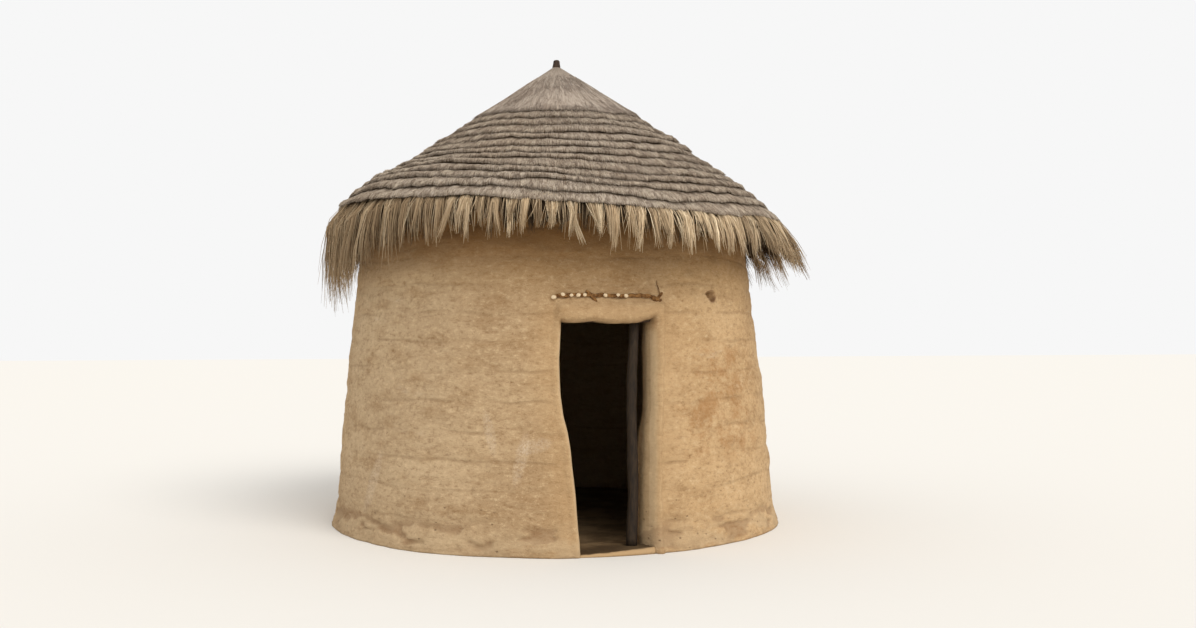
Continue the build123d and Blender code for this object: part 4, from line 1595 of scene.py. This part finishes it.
def trodden_finish():
    coat = Finish("trodden_earth", roughness=0.97, specular=0.1)
    clouds = coat.grain(4.0, detail=6, roughness=0.62)
    crumbs = coat.grain(60, detail=4, roughness=0.7)
    inward = coat.stored("inward")
    # The floor's earth is dark: trodden dirt, and in part a painted shade inside the hut.
    coat.colour = coat.mix(clouds.between(0.38, 0.64), rgb(88, 70, 49), rgb(116, 95, 69))
    # A painted highlight: the sill's front edge is pale.
    coat.colour = coat.mix(inward.between(0.02, 0.09), rgb(180, 150, 112), coat.colour)
    # Just behind the sill's edge, a band of painted shade and dirt.
    coat.tint(inward.between(0.05, 0.14) * inward.between(0.9, 0.5) * 0.6, rgb(56, 43, 29))
    coat.tint(crumbs.between(0.60, 0.72) * 0.4, rgb(80, 62, 42))
    return coat.finished(clouds * 0.8 + crumbs * 0.4, distance=0.010, strength=0.7)


def ridge_finish():
    coat = Finish("ridge_mud", roughness=0.93, specular=0.15)
    lumps = coat.grain(38, detail=4, roughness=0.6)
    coat.colour = coat.mix(lumps.between(0.36, 0.66), rgb(88, 58, 32), rgb(150, 110, 66))
    return coat.finished(lumps, distance=0.010, strength=0.8)


def shell_finish():
    coat = Finish("shell_white", roughness=0.45, specular=0.5)
    bands = coat.grain(210, detail=2)
    coat.colour = coat.mix(bands.between(0.35, 0.7), rgb(204, 180, 144), rgb(238, 218, 184))
    return coat.finished()


trodden = trodden_finish()
sill.data.materials.append(trodden)
beaten_floor.data.materials.append(trodden)
shell_ridge.data.materials.append(ridge_finish())
hand_over(ridge_shells(shell_finish()), "shell_set_earth")

# %% [markdown]
# Wood next. Poles keep their bark where nobody handles them, and the door post is peeled and grey.
# The post's colour is darkened too, a painted shade for the doorway that it stands in.

# %% Wood finishes


def wood_finish(name, dark, pale, along_z=True, roughness=0.8):
    wood = Finish(name, roughness=roughness, specular=0.3)
    grain = wood.grain(70, detail=6, roughness=0.65, up=0.12 if along_z else 1.0)
    blotch = wood.grain(6, detail=4)
    wood.colour = wood.mix(grain.between(0.34, 0.68), dark, pale)
    wood.tint(blotch.between(0.52, 0.70) * 0.5, tuple(c * 0.45 for c in dark))
    return wood.finished(grain + blotch * 0.5, distance=0.004, strength=0.7)


# The door post's wood is painted very dark, as the shade of the doorway.
shaded_post_finish = wood_finish("shaded_peeled_wood", rgb(30, 21, 13), rgb(54, 41, 27))
bark_finish = wood_finish("bark", rgb(66, 49, 36), rgb(116, 94, 72), along_z=False, roughness=0.9)
withy_finish = wood_finish("withy_bark", rgb(84, 62, 42), rgb(134, 108, 78), along_z=False)
knob_finish = wood_finish("weathered_knob", rgb(38, 28, 22), rgb(72, 55, 42))
lintel_finish = wood_finish("lintel_bark", rgb(52, 39, 29), rgb(98, 77, 58), along_z=False, roughness=0.9)
worn_wood = [(door_post, shaded_post_finish), (long_poles, bark_finish), (short_poles, bark_finish)]
worn_wood += [(apex_knob, knob_finish), *[(withy, withy_finish) for withy in withies]]
for piece, finish in worn_wood:
    piece.data.materials.append(finish)
cad_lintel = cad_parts["lintel_poles"]
cad_lintel.data.materials.clear()
cad_lintel.data.materials.append(lintel_finish)

carried_values = {"turn": lashing_turns, "reach": lashing_sizes}
lashings = new_object("lashings", lashing_places, [], carried_values)
cord_finish = wood_finish("bark_cord", rgb(128, 100, 66), rgb(170, 142, 100), along_z=False)
hand_over(cords.use_on(lashings, Finish=cord_finish), "withy_hoops")

# %% [markdown]
# Thatch last. Weather greys it from outside in. The streaks have to run down the slope everywhere, so
# the noise is read at the direction from the axis, which doesn't change down the slope, and at the
# stored way down the slope, squeezed.

# %% Thatch finishes


def slope_streaks(straw, scale, squeeze, reach):
    """Noise drawn out down the slope. reach is the radius at which its grain has its true width."""
    x, y, z = straw.axes()
    level = straw.node("ShaderNodeCombineXYZ", None, {0: x, 1: y, 2: 0.0})
    unit = straw.node("ShaderNodeVectorMath", {"operation": "NORMALIZE"}, {0: level})
    wide = straw.node("ShaderNodeVectorMath", {"operation": "MULTIPLY"}, {0: unit, 1: (reach, reach, 0.0)})
    depth = straw.node("ShaderNodeCombineXYZ", None, {0: 0.0, 1: 0.0, 2: straw.stored("down") * squeeze})
    place = straw.node("ShaderNodeVectorMath", {"operation": "ADD"}, {0: wide, 1: depth})
    return straw.grain(scale, detail=4, roughness=0.6, place=place)


def shell_straw(name, reach, painted_sky_light, streaks):
    """The body of the thatch: matted straw, dark between the stalks. streaks is how strongly they show."""
    straw = Finish(name, roughness=0.95, specular=0.12)
    stalks = slope_streaks(straw, 130, 0.10, reach)
    wisps = slope_streaks(straw, 56, 0.26, reach)
    tufts = slope_streaks(straw, 22, 0.40, reach)
    weather = straw.grain(1.3, detail=4)
    straw.colour = straw.mix(weather.between(0.36, 0.64), rgb(168, 152, 135), rgb(178, 165, 151))
    # A painted sky light: the cap, which faces the sky, is laid paler.
    straw.tint(painted_sky_light, rgb(178, 164, 152))
    straw.tint(stalks.between(0.52, 0.37) * (0.75 * streaks), rgb(96, 79, 62))
    straw.tint(stalks.between(0.53, 0.68) * (0.70 * streaks), rgb(194, 178, 156))
    straw.tint(wisps.between(0.49, 0.37) * (0.55 * streaks), rgb(98, 81, 64))
    straw.tint(wisps.between(0.54, 0.66) * (0.50 * streaks), rgb(192, 177, 156))
    straw.tint(tufts.between(0.51, 0.36) * (0.45 * streaks), rgb(108, 91, 74))
    # A painted shade on the lip's rounded front, broken into specks.
    ends = straw.grain(190, detail=2).between(0.46, 0.60) * straw.stored("lip")
    straw.tint(ends * 0.65, rgb(84, 67, 50))
    # Painted shade just under the lip of the ring above.
    tuck = straw.stored("tuck").between(0.12, 0.75)
    straw.tint(tuck * 0.84, rgb(58, 45, 33))
    # Painted shade on the lip's underside and on the hidden faces.
    straw.tint(1.0 - straw.stored("face"), rgb(66, 50, 34))
    return straw.finished(stalks + wisps * 0.8 + tufts * 0.6 - ends * 0.4, distance=0.012, strength=0.9)


def single_straw(name, pale, middle, dark, root_shade, sides_darkened=0.0):
    """One straw: each has its own tone, and a painted shade where it comes out of the mat.

    Its last argument is how far the straw at the hut's two sides is darkened and browned, partly as a painted
    shade.
    """
    straw = Finish(name, roughness=0.85, specular=0.2)
    shade, along, tuck = straw.stored("shade"), straw.stored("along"), straw.stored("tuck")
    weather = straw.grain(1.7, detail=4)
    straw.colour = straw.mix(shade.between(0.0, 0.55), dark, middle)
    straw.tint(shade.between(0.55, 1.0), pale)
    straw.tint(weather.between(0.42, 0.66) * 0.35, dark)
    # Darker and browner at the hut's two sides, partly a painted shade.
    straw.tint(abs(straw.axes()[0] - 0.2).between(1.1, 2.1) * sides_darkened, rgb(118, 94, 66))
    # Painted shade near the root, where the straw comes out of the mat.
    straw.tint(along.between(0.45, 0.0) * root_shade, rgb(70, 55, 41))
    # Painted shade where the straw goes under the lip above.
    straw.tint(tuck.between(0.15, 0.75) * 0.68, rgb(64, 50, 37))
    return straw.finished()


ring_body = shell_straw("matted_thatch", 1.6, 0.0, 1.0)
# The cap's body is paler than the rings': a painted sky light on the top of the roof.
cap_body = shell_straw("matted_cap", 0.7, 0.55, 0.45)
ring_straw = single_straw("ring_straw", rgb(212, 198, 178), rgb(176, 161, 144), rgb(124, 108, 93), 0.18)
cap_straw = single_straw("cap_straw", rgb(198, 185, 171), rgb(170, 156, 143), rgb(138, 123, 110), 0.12)
fringe_tones = (rgb(248, 229, 196), rgb(204, 179, 145), rgb(108, 88, 65))
fringe_straw = single_straw("fringe_straw", *fringe_tones, 0.12, sides_darkened=0.42)
shaded_straw = single_straw("shaded_straw", rgb(112, 91, 66), rgb(80, 63, 44), rgb(52, 40, 28), 0.5)
# The fringe's root is painted dark: the shade under the lip and between the locks.
fringe_root_shade = single_straw("fringe_root_shade", rgb(84, 67, 48), rgb(70, 55, 39), rgb(54, 42, 29), 0.3)
print("finishes ready")

# %% Thatch pieces


def thatch_piece(number):
    """A ring, or the cap for number 0, as one piece: its shell and its straws."""
    ring = courses + 1 - number
    name, node = (f"straw_ring_{ring}", f"thatch_ring_{ring}") if number else ("straw_cap", "thatch_cap")
    body, straw = (ring_body, ring_straw) if number else (cap_body, cap_straw)
    straws = blades(*ring_straws(number), straw)
    return hand_over(merged(name, [thatch_shell(number), straws], [body, straw]), "thatch", node)


for number in range(courses + 1):
    thatch_piece(number)

# %% Fringe pieces
each_front, each_back = ((38, 38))
sizes = {"steps": 4, "reach_part": 1.02, "off": 0.102, "size_range": (0.0020, 0.0040)}
locks = lock_lines(168, each_front, seed=601, **sizes, wide=0.50, meets=(0.62, 0.97))
sizes = {"steps": 4, "reach_part": 0.92, "off": 0.106, "size_range": (0.0018, 0.0030)}
strays = lock_lines(600, each=2, seed=603, **sizes, wide=0.9, meets=(-0.6, 0.6))
front_lots = [skirt(), blades(*locks, fringe_straw), blades(*strays, fringe_straw)]
fringe = merged("straw_fringe", front_lots, [fringe_root_shade, fringe_straw, fringe_straw])
hand_over(fringe, "straw_fringe", "eave_fringe")
sizes = {"steps": 3, "reach_part": 0.62, "off": 0.056, "size_range": (0.0022, 0.0038)}
back_locks = lock_lines(146, each_back, seed=602, **sizes)
inner_fringe = merged("straw_fringe_inner", [blades(*back_locks, shaded_straw)], [shaded_straw])
hand_over(inner_fringe, "straw_fringe")

# %% [markdown]
# ## Finish
# The pieces that are shown are counted, with their triangles. The dressed hut has to fill
# the same box as the imported one.

# %% Pieces and triangles
own_pieces = [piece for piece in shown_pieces() if piece.type == "MESH"]
print("pieces:", len(own_pieces), "triangles in all:", sum(triangles(piece) for piece in own_pieces))
